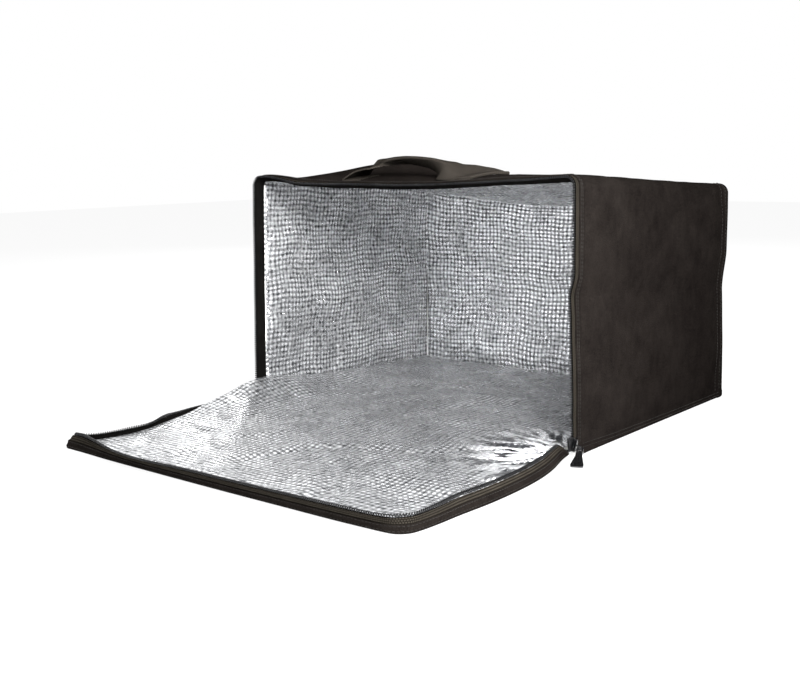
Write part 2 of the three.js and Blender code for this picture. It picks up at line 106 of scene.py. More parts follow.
class MeshMaker:
    """Gathers grids of points in millimetres and makes one mesh object of them."""

    def __init__(self, name: str) -> None:
        """Starts an empty mesh with that piece name."""
        self.name = name
        self.points: list[Array] = []
        self.maps: list[Array] = []
        self.quads: list[Array] = []
        self.caps: list[Array] = []
        self.count = 0

    def add_grid(
        self, points: Array, wrap: bool = False, flip: bool = False, uv: Array | None = None
    ) -> Array:
        """Adds a grid of points and its quads.

        Args:
            points: Grid of points, rows x columns x 3.
            wrap: Whether the last column joins the first.
            flip: Whether the faces look the other way.
            uv: Map coordinates in metres, rows x columns x 2.

        Returns:
            The grid of vertex numbers.
        """
        rows, columns = points.shape[:2]
        index = self.count + np.arange(rows * columns).reshape(rows, columns)
        self.points.append(points.reshape(-1, 3))
        self.maps.append(np.zeros((rows * columns, 2)) if uv is None else uv.reshape(-1, 2))
        self.count += rows * columns
        self.join(index, wrap, flip)
        return index

    def join(self, index: Array, wrap: bool = False, flip: bool = False) -> None:
        """Adds the quads between neighbours in a grid of vertex numbers.

        Args:
            index: Grid of vertex numbers.
            wrap: Whether the last column joins the first.
            flip: Whether the faces look the other way.
        """
        if wrap:
            index = np.concatenate([index, index[:, :1]], axis=1)
        corners = [index[:-1, :-1], index[:-1, 1:], index[1:, 1:], index[1:, :-1]]
        quad = np.stack(corners, axis=-1).reshape(-1, 4)
        self.quads.append(quad[:, ::-1] if flip else quad)

    def add_shell(self, outer: Array, inner: Array, wrap: bool = False, uv: Array | None = None) -> None:
        """Adds a closed wall between two grids of the same size.

        Args:
            outer: Grid whose faces look away from the inner one.
            inner: The other face of the wall.
            wrap: Whether the last column joins the first.
            uv: Map coordinates of both grids.
        """
        a = self.add_grid(outer, wrap, False, uv)
        b = self.add_grid(inner, wrap, True, uv)
        self.join(np.stack([b[0], a[0]]), wrap)
        self.join(np.stack([a[-1], b[-1]]), wrap)
        if not wrap:
            self.join(np.stack([b[:, 0], a[:, 0]], axis=1))
            self.join(np.stack([a[:, -1], b[:, -1]], axis=1))

    def add_tube(self, rings: Array) -> None:
        """Adds a closed tube of rings, rings x sides x 3, with a flat cap at each end."""
        index = self.add_grid(rings, wrap=True)
        self.caps.append(index[:1, ::-1])
        self.caps.append(index[-1:])

    def add_beads(self, rings: Array) -> None:
        """Adds many small closed tubes at once, beads x rings x sides x 3."""
        beads, count, sides = rings.shape[:3]
        index = self.count + np.arange(beads * count * sides).reshape(beads, count, sides)
        self.points.append(rings.reshape(-1, 3))
        self.maps.append(np.zeros((beads * count * sides, 2)))
        self.count += beads * count * sides
        around = np.concatenate([index, index[:, :, :1]], axis=2)
        corners = [around[:, :-1, :-1], around[:, :-1, 1:], around[:, 1:, 1:], around[:, 1:, :-1]]
        self.quads.append(np.stack(corners, axis=-1).reshape(-1, 4))
        self.caps.append(index[:, 0, ::-1])
        self.caps.append(index[:, -1])

    def build(self, material: bpy.types.Material, sharp: float = 50.0) -> bpy.types.Object:
        """Makes the object, with faces that look outwards where the mesh is closed.

        Args:
            material: Its material.
            sharp: Edges that bend by more than this many degrees stay sharp.

        Returns:
            The new object.
        """
        points = np.concatenate(self.points) * MM
        maps = np.concatenate(self.maps)
        quads = np.concatenate(self.quads)
        parts = [quads.ravel(), *[cap.ravel() for cap in self.caps]]
        sizes = [np.full(len(quads), 4), *[np.full(len(cap), cap.shape[1]) for cap in self.caps]]
        corners = np.concatenate(parts).astype(np.int32)
        size = np.concatenate(sizes).astype(np.int32)
        mesh = bpy.data.meshes.new(self.name)
        mesh.vertices.add(len(points))
        mesh.vertices.foreach_set("co", points.astype(np.float32).ravel())
        mesh.loops.add(len(corners))
        mesh.loops.foreach_set("vertex_index", corners)
        mesh.polygons.add(len(size))
        mesh.polygons.foreach_set("loop_start", np.concatenate([[0], np.cumsum(size)[:-1]]).astype(np.int32))
        mesh.polygons.foreach_set("use_smooth", np.ones(len(size), bool))
        mesh.update(calc_edges=True)
        layer = mesh.uv_layers.new(name="UVMap")
        layer.data.foreach_set("uv", maps[corners].astype(np.float32).ravel())
        mesh.set_sharp_from_angle(angle=math.radians(sharp))
        mesh.materials.append(material)
        made = bpy.data.objects.new(self.name, mesh)
        bpy.context.scene.collection.objects.link(made)
        LOG.info("%s: %d faces", self.name, len(size))
        return made


@dataclass(frozen=True)
class Swell:
    """Soft swells of one wall, as heights over an even coarse grid."""

    low: tuple[float, float]
    high: tuple[float, float]
    heights: Array

    def at(self, a: Array, b: Array) -> Array:
        """Height at places of the wall: cubic B-spline weights of the 4 x 4 nearest grid heights.

        Args:
            a: First wall coordinate, along the grid's columns.
            b: Second wall coordinate, along the grid's rows.

        Returns:
            Heights of the same shape.
        """
        a, b = np.broadcast_arrays(a, b)
        rows, columns = self.heights.shape
        p = np.clip((a - self.low[0]) / (self.high[0] - self.low[0]), 0, 1) * (columns - 1)
        q = np.clip((b - self.low[1]) / (self.high[1] - self.low[1]), 0, 1) * (rows - 1)
        i, j = np.floor(p).astype(int), np.floor(q).astype(int)
        weights = [self._weights(p - i), self._weights(q - j)]
        total = np.zeros(a.shape)
        for m in range(4):
            row = np.clip(j + m - 1, 0, rows - 1)
            for n in range(4):
                column = np.clip(i + n - 1, 0, columns - 1)
                total = total + weights[1][m] * weights[0][n] * self.heights[row, column]
        return total

    @staticmethod
    def _weights(t: Array) -> list[Array]:
        """The four cubic B-spline weights at a share t between two grid lines."""
        return [
            (1 - t) ** 3 / 6,
            (3 * t**3 - 6 * t**2 + 4) / 6,
            (-3 * t**3 + 3 * t**2 + 3 * t + 1) / 6,
            t**3 / 6,
        ]


@dataclass(frozen=True)
class ClothTrial:
    """Cloth simulation of one flat panel that is held at its edges and a little too large."""

    name: str
    low: tuple[float, float]
    high: tuple[float, float]
    spacing: float
    growth: float
    pressure: float
    bending: float
    limit: float
    seed: int
    frames: int = 24

    def run(self) -> Swell:
        """Lets the cloth find its swells.

        Returns:
            The heights found, held below the limit by limit * tanh(height / limit).
        """
        columns = int(round((self.high[0] - self.low[0]) / self.spacing)) + 1
        rows = int(round((self.high[1] - self.low[1]) / self.spacing)) + 1
        p, q = np.meshgrid(np.linspace(0, 1, columns), np.linspace(0, 1, rows))
        window = np.sin(np.pi * p) * np.sin(np.pi * q)
        noise = np.random.default_rng(self.seed).standard_normal((rows, columns))
        for _ in range(3):
            noise = self._smoothed(noise)
        start = noise / np.abs(noise).max() * window
        x = self.low[0] + p * (self.high[0] - self.low[0])
        y = self.low[1] + q * (self.high[1] - self.low[1])
        maker = MeshMaker(self.name)
        index = maker.add_grid(np.stack([x, y, start], axis=-1))
        panel = maker.build(bpy.data.materials.new(self.name))
        held = np.concatenate([index[0], index[-1], index[:, 0], index[:, -1]])
        panel.vertex_groups.new(name="held").add(sorted(set(held.tolist())), 1.0, "REPLACE")
        found = self._simulate(panel).reshape(rows, columns) / MM
        bpy.data.objects.remove(panel)
        return Swell(self.low, self.high, self.limit * np.tanh(found / self.limit))

    @staticmethod
    def _smoothed(values: Array) -> Array:
        """Mean of each value and its four neighbours, the edges repeated."""
        wide = np.pad(values, 1, mode="edge")
        return (wide[1:-1, 1:-1] + wide[:-2, 1:-1] + wide[2:, 1:-1] + wide[1:-1, :-2] + wide[1:-1, 2:]) / 5

    def _simulate(self, panel: bpy.types.Object) -> Array:
        """Runs the cloth and returns the height of each vertex, in metres."""
        modifier = panel.modifiers.new("cloth", "CLOTH")
        cloth = modifier.settings
        cloth.quality = 6
        cloth.mass = 0.25
        cloth.tension_stiffness = cloth.compression_stiffness = 25
        cloth.shear_stiffness = 8
        cloth.bending_stiffness = self.bending
        cloth.vertex_group_mass = "held"
        cloth.shrink_min = cloth.shrink_max = -self.growth
        cloth.use_pressure = True
        cloth.uniform_pressure_force = self.pressure
        cloth.effector_weights.gravity = 0
        modifier.point_cache.frame_start = 1
        modifier.point_cache.frame_end = self.frames
        scene = bpy.context.scene
        for step in range(1, self.frames + 1):
            scene.frame_set(step)
        settled = panel.evaluated_get(bpy.context.evaluated_depsgraph_get()).data
        heights = np.zeros(len(settled.vertices) * 3, np.float32)
        settled.vertices.foreach_get("co", heights)
        scene.frame_set(1)
        return heights.reshape(-1, 3)[:, 2].astype(float)


class Wall(Enum):
    """The walls of the body."""

    LEFT = "left"
    RIGHT = "right"
    BACK = "back"
    TOP = "top"
    BOTTOM = "bottom"


@dataclass
class BagForm:
    """Sizes of the bag and the shape of every wall, in millimetres."""

    width: float = 500.0
    height: float = 304.5
    hinge_y: float = -200.0
    zip_y: float = -180.0
    wall_front_y: float = -161.0
    back_y: float = 200.0
    flap_length: float = 290.0
    corner: float = 12.0
    foot: float = 4.0
    front_sag: tuple = (
        (-250, -0.4), (-214, -0.3), (-197, 2.2), (-179, 6), (-161, 8.3), (-143, 8.8), (-60, 9.1), (-12, 10),
        (48, 9), (105, 7.2), (158, 4.7), (203, 2.2), (222, 0.4), (250, -0.4),
    )
    sag_reach: float = 44.0
    sag_reach_middle: float = 80.0
    sag_middle: tuple = (-150, 50, 60, 80)
    rear_sag: float = 26.0
    rear_sag_start: float = -80.0
    rear_drop: float = 20.5
    bulge: float = 19.5
    bulge_x: float = -105.0
    bulge_y: float = -50.0
    bulge_half_x: float = 100.0
    bulge_front: float = 38.0
    bulge_rear: float = 60.0
    groove: tuple = ((-120, -117), (-85, -116), (-51, -113), (-25, -106), (-9, -98), (6, -88), (30, -70))
    groove_run: tuple = (-118, 14, -5, 25)
    groove_depth: float = 1.8
    groove_width: float = 3.0
    crease_front_z: float = 174.0
    crease_rear_z: float = 148.0
    crease_depth: float = 2.2
    crease_front_extra: float = 2.6
    crease_front_reach: float = 0.25
    crease_rear_extra: float = 2.4
    crease_rear_reach: float = 0.22
    crease_fade: float = 26.0
    crease_fade_growth: float = 24.0
    crease_power: float = 1.6
    left_lean: float = 10.5
    left_lean_power: float = 1.3
    left_lean_loss: float = 0.5
    left_belly: float = 3.0
    right_crest: float = 3.0
    right_crest_margin: float = 14.0
    right_belly: float = 2.0
    back_belly: float = 3.5
    back_margin: float = 12.0
    back_dent: float = 3.0
    back_dent_reach: float = 12.0
    left_edge: tuple = (
        (-490, -7), (-480, -2), (-462, 11), (-440, 19), (-415, 21.5), (-395, 20), (-350, 9), (-304, -2),
        (-260, -6), (-180, -7.4), (-100, -5), (0, -3.7), (200, -2.3),
    )
    right_edge: tuple = (
        (-490, 6), (-471, 10.4), (-450, 12.3), (-420, 13.2), (-371, 15.9), (-330, 15.6), (-294, 13.4),
        (-242, 5.7), (-202, -5), (-180, -9.5), (-100, -6), (10, -2.1), (200, 1.5),
    )
    front_edge: tuple = (
        (-250, 3), (-215, 2), (-168, -0.8), (-80, -3.5), (0, -5.5), (100, -7), (205, -7.5), (238, -6),
        (250, -4),
    )
    left_hump: tuple = (
        (-335, 0), (-308, 1.5), (-279, 7), (-235, 15), (-193, 24), (-170, 26), (-104, 17.6), (-42, 11.9),
        (52, 7.6), (120, 5), (193, 2.5),
    )
    hump_x: float = -243.0
    hump_reach_inside: float = 42.0
    hump_reach_outside: float = 6.0
    corner_rise: float = 3.0
    corner_reach_x: float = 30.0
    corner_reach_y: float = 50.0
    outer_inside: float = 1.2
    foam_outside: float = 1.5
    foam_inside: float = 6.0
    lining_outside: float = 6.5
    side_steps: int = 110
    corner_steps: int = 8
    roof_steps: int = 101
    foot_steps: int = 5
    ground_steps: int = 60
    swells: dict[Wall, Swell] = field(default_factory=dict)

    @property
    def half(self) -> float:
        """Half the width."""
        return self.width / 2

    def swell(self, wall: Wall, a: Array, b: Array) -> Array:
        """Outward swell of a wall that the cloth simulation found."""
        return self.swells[wall].at(a, b)

    def edge_height(self, y: Array) -> Array:
        """Height of the long top edges: the full height less a straight fall towards the back."""
        return self.height - self.rear_drop * (y - self.zip_y) / (self.back_y - self.zip_y)

    def roof_rise(self, x: Array, y: Array) -> Array:
        """Rise of the top panel over its edges: the bulge behind the handle less the front and rear sags.

        A groove runs along the bulge's front foot and up its right flank.

        Args:
            x: Places across the bag.
            y: Places along its depth.

        Returns:
            Heights over the edge height.
        """
        across = 1 - np.clip(x / (self.half - self.corner), -1, 1) ** 2
        middle = between(x, *self.sag_middle)
        reach = self.sag_reach + (self.sag_reach_middle - self.sag_reach) * middle
        front = curve(x, self.front_sag) * (1 - ease((y - self.zip_y) / reach))
        rear = self.rear_sag * ease((y - self.rear_sag_start) / (self.back_y - self.rear_sag_start))
        half_y = np.where(y < self.bulge_y, self.bulge_front, self.bulge_rear)
        bulge = self.bulge * bell(x - self.bulge_x, self.bulge_half_x) * bell(y - self.bulge_y, half_y)
        aside = np.abs(y - curve(x, self.groove))
        groove = self.groove_depth * np.exp(-aside / self.groove_width) * between(x, *self.groove_run)
        return bulge - groove - front - across * rear + self.swell(Wall.TOP, x, y)

    def crease_z(self, y: Array) -> Array:
        """Height of the side walls' level crease, which falls towards the back."""
        share = (y - self.zip_y) / (self.back_y - self.zip_y)
        return self.crease_front_z + (self.crease_rear_z - self.crease_front_z) * share

    def side_shift(self, side: Array, y: Array, z: Array) -> Array:
        """Outward shift of a side wall.

        The walls come together towards the zip, the left one only near its top. Below the crease the
        right wall is pulled in, and the wall hangs over the crease at the rear.

        Args:
            side: -1 for the left wall and 1 for the right one.
            y: Places along the depth.
            z: Heights.

        Returns:
            Shifts away from the bag's middle.
        """
        along = np.clip((y - self.zip_y) / (self.back_y - self.zip_y), 0, 1)
        up = np.clip(z / self.height, 0, 1)
        return np.where(side > 0, self._right_shift(along, y, z), self._left_shift(along, up, y, z))

    def _left_shift(self, along: Array, up: Array, y: Array, z: Array) -> Array:
        """Shift of the left wall: its foot follows the floor's edge, and its top leans in, most in front."""
        lean = self.left_lean * up**self.left_lean_power * (1 - self.left_lean_loss * along)
        soft = self.left_belly * np.sin(np.pi * along) * np.sin(np.pi * up)
        return -curve(y, self.left_edge) - lean + soft + self.swell(Wall.LEFT, y, z)

    def _right_shift(self, along: Array, y: Array, z: Array) -> Array:
        """Shift of the right wall: its foot follows the floor's edge, and the crease pulls it in."""
        crease = self.crease_z(y)
        below = np.clip(z / crease, 0, 1) ** self.crease_power
        above = 1 - ease((z - crease) / (self.crease_fade + self.crease_fade_growth * along))
        front = self.crease_front_extra * bell(along, self.crease_front_reach)
        rear = self.crease_rear_extra * bell(along - 1, self.crease_rear_reach)
        depth = self.crease_depth + front + rear
        top = self.height - self.right_crest_margin
        crest = np.sin(np.pi * np.clip((z - crease) / (top - crease), 0, 1))
        belly = np.sin(np.pi * np.clip(z / crease, 0, 1))
        soft = np.sin(np.pi * along) * (self.right_crest * crest + self.right_belly * belly)
        foot = curve(y, self.right_edge)
        return foot - depth * np.where(z < crease, below, above) + soft + self.swell(Wall.RIGHT, y, z)

    def back_shift(self, x: Array, z: Array) -> Array:
        """Outward shift of the back wall: a soft swell, crossed by the level crease."""
        across = np.cos(np.pi * np.clip(x / self.width, -0.5, 0.5))
        up = np.sin(np.pi * np.clip(z / (self.height - self.back_margin), 0, 1))
        dent = self.back_dent * bell(z - self.crease_rear_z, self.back_dent_reach)
        return self.back_belly * across * up - dent * across + self.swell(Wall.BACK, x, z)

    def outline(self, closed: bool) -> dict[str, Array]:
        """The body's cross-section as it would be at height zero, from the left foot over the top.

        Each column has a place x, a part of z that is fixed, a share of the height that is added to it,
        and an outward normal.

        Args:
            closed: Whether the section goes on under the bottom back to its start.

        Returns:
            Arrays x, z, share, nx and nz.
        """
        w, r, f = self.half, self.corner, self.foot
        t = np.linspace(0, 1, self.side_steps, endpoint=False)
        turn = np.linspace(0, np.pi / 2, self.corner_steps, endpoint=False)
        flat = np.linspace(-1, 1, self.roof_steps)
        one, none = np.ones, np.zeros
        left = [-w + 0 * t, f * (1 - t) - r * t, t, -one(len(t)), none(len(t))]
        c, s = np.cos(turn), np.sin(turn)
        rise = [-(w - r) - r * c, -r + r * s, one(len(turn)), -c, s]
        roof = [flat * (w - r), none(len(flat)), one(len(flat)), none(len(flat)), one(len(flat))]
        parts = [left, rise, roof]
        parts.append([-rise[0][::-1], rise[1][::-1], rise[2], -rise[3][::-1], rise[4][::-1]])
        parts.append([-left[0], left[1][::-1], left[2][::-1], one(len(t)), none(len(t))])
        if closed:
            bend = np.linspace(0, np.pi / 2, self.foot_steps)[1:]
            ground = np.linspace(1, -1, self.ground_steps)[1:-1]
            level = none(len(ground))
            c, s = np.cos(bend), np.sin(bend)
            parts.append([w - f + f * c, f - f * s, 0 * bend, c, -s])
            parts.append([ground * (w - f), level, level, level, -one(len(ground))])
            last = [-(w - f + f * c), f - f * s, 0 * bend, -c, -s]
            parts.append([column[::-1] for column in last])
        joined = [np.concatenate([part[k] for part in parts]) for k in range(5)]
        return dict(zip(("x", "z", "share", "nx", "nz"), joined))

    def section(self, y: Array, offset: Array, closed: bool = False) -> Array:
        """Cross-sections of the body at several depths.

        A point is the flat outline moved inwards by the offset, then moved by the walls' own shapes.

        Args:
            y: Depth of each row.
            offset: Distance inwards from the outer face, for each row.
            closed: Whether the sections go round under the bottom.

        Returns:
            Points, rows x columns x 3.
        """
        line = self.outline(closed)
        depth, inward = np.reshape(y, (-1, 1)), np.reshape(offset, (-1, 1)) + np.zeros((len(y), 1))
        x = line["x"] - inward * line["nx"]
        z = line["z"] + line["share"] * self.edge_height(depth) - inward * line["nz"]
        side = np.sign(x)
        shift = self.side_shift(side, depth, z)
        upward = np.maximum(line["nz"], 0) ** 2
        above = line["share"] > 0.5
        roof = np.abs(x) / (self.half - self.corner)
        weight = np.where(above & (line["nz"] > 0), np.clip(roof, 0, 1), line["nx"] ** 2)
        x = x + side * shift * weight
        z = z + self.roof_rise(x, depth) * upward
        return np.stack(np.broadcast_arrays(x, depth, z), axis=-1)

    def wall(self, wall: Wall, a: Array, b: Array, offset: Array) -> Array:
        """Points of one wall at a distance inwards from its outer face.

        Args:
            wall: Which wall.
            a: Depth on the side walls, and across the bag on the others.
            b: Height on the upright walls, and depth on the top and bottom. On the side walls it is the
                height at the front, which shrinks with the edge towards the back.
            offset: Distance inwards.

        Returns:
            Points in the shape of a and b, with a last axis of 3.
        """
        if wall in (Wall.LEFT, Wall.RIGHT):
            side = 1.0 if wall is Wall.RIGHT else -1.0
            up = b * self.edge_height(a) / self.edge_height(self.zip_y)
            parts = (side * (self.half - offset + self.side_shift(side, a, up)), a, up)
        elif wall is Wall.BACK:
            lowered = b + self.roof_rise(a, self.back_y) * (b / self.edge_height(self.back_y)) ** 3
            parts = (a, self.back_y - offset + self.back_shift(a, b), lowered)
        elif wall is Wall.TOP:
            high = self.edge_height(b) + self.roof_rise(a, b) - offset
            share = np.clip(np.abs(a) / (self.half - self.corner), 0, 1)
            parts = (a + np.sign(a) * share * self.side_shift(np.sign(a), b, high), b, high)
        else:
            return self.ground(a, b, offset)
        return np.stack(np.broadcast_arrays(*parts), axis=-1)

    def ground(self, x: Array, y: Array, height: Array) -> Array:
        """Points of the floor and of the laid-out flap, whose plan is pulled out of its rectangle.

        Args:
            x: Places across, as on the flat cut.
            y: Places along, as on the flat cut.
            height: Height over the face that lies on the ground.

        Returns:
            Points with a last axis of 3.
        """
        out = np.clip((self.hinge_y - y) / self.flap_length, 0, 1)
        across = (x + self.half) / self.width
        moved_x = x + (1 - across) * curve(y, self.left_edge) + across * curve(y, self.right_edge)
        moved_y = y + out**2 * curve(x, self.front_edge)
        return np.stack(np.broadcast_arrays(moved_x, moved_y, height + self.ground_lift(x, y)), axis=-1)

    def ground_lift(self, x: Array, y: Array) -> Array:
        """Rise of floor and flap: a hump along the left wall's foot that runs out over the flap.

        Args:
            x: Places across.
            y: Places along.

        Returns:
            Heights.
        """
        reach = np.where(x > self.hump_x, self.hump_reach_inside, self.hump_reach_outside)
        near = bell(x - self.half, self.corner_reach_x) * bell(y - self.hinge_y, self.corner_reach_y)
        return curve(y, self.left_hump) * bell(x - self.hump_x, reach) + self.corner_rise * near


@dataclass(frozen=True)
class LipPath:
    """The flap's three free edges as one line, from the right hinge corner round to the left one."""

    form: BagForm
    start_y: float = -188.0
    height: float = 20.0
    gusset: float = 8.0
    gusset_height: float = 7.0
    foot: float = 3.0
    least_share: float = 0.15
    foot_lean_share: float = 0.3
    bend_share: float = 1.4
    leans: tuple = (
        (0, -44), (30, -44), (80, -34), (141, -29), (186, -24), (216, -14), (251, 3), (290, 14), (309, 22),
        (369, 26), (547, 30), (690, 31), (735, 8), (785, -22), (804, -30), (864, -24), (910, -18), (934, 14),
        (954, 48), (994, 72), (1034, 79), (1094, 80),
    )
    tallness: tuple = (
        (0, 1), (60, 1.08), (160, 1.1), (400, 1.08), (520, 1), (840, 1), (875, 0.88), (910, 0.8), (934, 0.7),
        (954, 0.64), (972, 0.62), (1010, 0.7), (1094, 0.8),
    )

    @property
    def side_run(self) -> float:
        """Length of each straight side run."""
        return self.start_y - (self.form.hinge_y - self.form.flap_length + self.form.corner)

    @property
    def arc_run(self) -> float:
        """Length of each corner's arc."""
        return self.form.corner * np.pi / 2

    @property
    def front_run(self) -> float:
        """Length of the straight front run."""
        return self.form.width - 2 * self.form.corner

    @property
    def length(self) -> float:
        """Length of the whole line."""
        return 2 * (self.side_run + self.arc_run) + self.front_run

    def flat(self, s: Array) -> tuple[Array, Array, Array, Array]:
        """Place and outward normal on the flat cut's edge at distances along the line.

        Args:
            s: Distances from the right hinge corner.

        Returns:
            x, y and the two parts of the normal.
        """
        w, r = self.form.half, self.form.corner
        front = self.form.hinge_y - self.form.flap_length
        marks = np.cumsum([self.side_run, self.arc_run, self.front_run, self.arc_run])
        turn = np.where(s < marks[1], (s - marks[0]) / r, (s - marks[2]) / r)
        c, n = np.cos(turn), np.sin(turn)
        where = [s < marks[0], s < marks[1], s < marks[2], s < marks[3]]
        x = np.select(where, [w + 0 * s, w - r + r * c, w - r - (s - marks[1]), -(w - r) - r * n], -w)
        corner_y = front + r
        left_y = corner_y + (s - marks[3])
        y = np.select(where, [self.start_y - s, corner_y - r * n, front + 0 * s, corner_y - r * c], left_y)
        nx = np.select(where, [1 + 0 * s, c, 0 * s, -n], -1.0)
        ny = np.select(where, [0 * s, -n, -1 + 0 * s, -c], 0.0)
        return x, y, nx, ny

    def lean(self, s: Array) -> Array:
        """Angle of the lip from upright, outwards, in radians."""
        return np.radians(curve(s, self.leans))

    def point(self, s: Array, h: Array, offset: Array) -> Array:
        """A point of the lip: the edge's place, plus an arc of the lip's height that leans outwards.

        Args:
            s: Distances along the edge.
            h: Distances up the lip.
            offset: Distances inwards from its outer face.

        Returns:
            Points with a last axis of 3.
        """
        s, h, offset = np.broadcast_arrays(s, h, offset)
        x, y, nx, ny = self.flat(s)
        end = np.minimum(s, self.length - s)
        drop = (1 - ease(end / self.gusset)) * (self.height - self.gusset_height)
        kept = np.where(h > self.foot, np.maximum(h - drop, self.least_share * h), h)
        h = kept * curve(s, self.tallness)
        angle = self.lean(s)
        low, bend = self.foot_lean_share * angle, self.bend_share * angle / self.height
        half = bend * h / 2
        reach = h * np.sinc(half / np.pi)
        out = reach * np.sin(low + half) - offset * np.cos(low + bend * h)
        up = reach * np.cos(low + half) + offset * np.sin(low + bend * h)
        return self.form.ground(x + nx * out, y + ny * out, np.maximum(up, 0.0))


@dataclass(frozen=True)
class Paint:
    """Places nodes in one node tree."""

    tree: bpy.types.NodeTree

    def node(self, kind: str, inputs: dict | None = None, **settings: object) -> bpy.types.Node:
        """Adds a node.

        Args:
            kind: Its type without the words ShaderNode.
            inputs: Value or socket for each input, by name or number.
            settings: Properties of the node.

        Returns:
            The new node.
        """
        made = self.tree.nodes.new("ShaderNode" + kind)
        for name, value in settings.items():
            setattr(made, name, value)
        for key, value in (inputs or {}).items():
            if isinstance(value, bpy.types.NodeSocket):
                self.tree.links.new(value, made.inputs[key])
            else:
                made.inputs[key].default_value = value
        return made

    def math(self, operation: str, a: object, b: object = 0.0) -> bpy.types.NodeSocket:
        """One sum of two values or sockets."""
        return self.node("Math", {0: a, 1: b}, operation=operation).outputs[0]

    def plus(self, a: object, b: object) -> bpy.types.NodeSocket:
        """a + b."""
        return self.math("ADD", a, b)

    def minus(self, a: object, b: object) -> bpy.types.NodeSocket:
        """a - b."""
        return self.math("SUBTRACT", a, b)

    def times(self, a: object, b: object) -> bpy.types.NodeSocket:
        """a * b."""
        return self.math("MULTIPLY", a, b)

    def mix(self, share: object, a: object, b: object) -> bpy.types.NodeSocket:
        """A colour between two colours."""
        return self.node("Mix", {0: share, 6: a, 7: b}, data_type="RGBA").outputs[2]

    def remap(
        self, value: object, low: float, high: float, to_low: float, to_high: float
    ) -> bpy.types.NodeSocket:
        """A value moved from one range to another and held inside it."""
        keys = {0: value, 1: low, 2: high, 3: to_low, 4: to_high}
        return self.node("MapRange", keys, clamp=True).outputs[0]

    def noise(
        self, vector: object, scale: float, detail: float = 3.0, rough: float = 0.5
    ) -> bpy.types.NodeSocket:
        """Cloudy noise at a vector, with its scale in cells for each metre."""
        keys = {"Vector": vector, "Scale": scale, "Detail": detail, "Roughness": rough}
        return self.node("TexNoise", keys).outputs[0]

    def stretched(self, vector: object, scale: tuple[float, float, float]) -> bpy.types.NodeSocket:
        """A vector with each part multiplied."""
        return self.node("Mapping", {"Vector": vector, "Scale": scale}).outputs[0]


def colour(red: float, green: float, blue: float) -> tuple[float, float, float, float]:
    """Linear colour of a colour given as it looks on a screen, 0..255."""
    parts = [c / 255 for c in (red, green, blue)]
    line = [c / 12.92 if c <= 0.04045 else ((c + 0.055) / 1.055) ** 2.4 for c in parts]
    return (*line, 1.0)


class Effects:
    """Node groups that several finishes share."""

    def __init__(self) -> None:
        """Builds each group once."""
        self.clouds = self._clouds()
        self.weave = self._weave()

    @staticmethod
    def _group(
        name: str, takes: dict[str, float | None], gives: list[str]
    ) -> tuple[bpy.types.NodeTree, Paint]:
        """An empty group with named sockets.

        Args:
            name: Its name.
            takes: Inputs, a number for a value and None for a vector.
            gives: Names of its values.

        Returns:
            The group and a painter for it.
        """
        group = bpy.data.node_groups.new(name, "ShaderNodeTree")
        for key, value in takes.items():
            kind = "NodeSocketVector" if value is None else "NodeSocketFloat"
            socket = group.interface.new_socket(key, in_out="INPUT", socket_type=kind)
            if value is not None:
                socket.default_value = value
        for key in gives:
            group.interface.new_socket(key, in_out="OUTPUT", socket_type="NodeSocketFloat")
        return group, Paint(group)

    def _clouds(self) -> bpy.types.NodeTree:
        """Blotches, vertical streaks and grain of a pressed cloth, each from 0 to 1."""
        given = {"Place": None, "Grain": 900.0}
        group, paint = self._group("pressed cloth", given, ["Blotch", "Streak", "Grain"])
        takes = group.nodes.new("NodeGroupInput")
        gives = group.nodes.new("NodeGroupOutput")
        place = takes.outputs["Place"]
        links = group.links
        links.new(paint.remap(paint.noise(place, 26, 4), 0.3, 0.7, 0, 1), gives.inputs["Blotch"])
        streak = paint.noise(paint.stretched(place, (1, 1, 0.5)), 120, 3)
        links.new(paint.remap(streak, 0.3, 0.7, 0, 1), gives.inputs["Streak"])
        speckle = paint.node("TexNoise", {"Vector": place, "Scale": takes.outputs["Grain"], "Detail": 2.0})
        links.new(paint.remap(speckle.outputs[0], 0.3, 0.7, 0, 1), gives.inputs["Grain"])
        return group

    def _weave(self) -> bpy.types.NodeTree:
        """Rows of slanting ribs from a piece's own map: the height of a twill or of webbing, 0 to 1."""
        takes = {"Map": None, "Along": 700.0, "Across": 900.0, "Slant": 0.5}
        group, paint = self._group("ribbed weave", takes, ["Height"])
        given = group.nodes.new("NodeGroupInput")
        result = group.nodes.new("NodeGroupOutput")
        parts = paint.node("SeparateXYZ", {0: given.outputs["Map"]})
        along = paint.times(parts.outputs[0], given.outputs["Along"])
        across = paint.times(parts.outputs[1], given.outputs["Across"])
        row = paint.math("FLOOR", across)
        shifted = paint.plus(along, paint.times(row, given.outputs["Slant"]))
        rib = paint.math("ABSOLUTE", paint.math("SINE", paint.times(shifted, math.pi)))
        cord = paint.math("ABSOLUTE", paint.math("SINE", paint.times(across, math.pi)))
        group.links.new(paint.times(rib, cord), result.inputs["Height"])
        return group


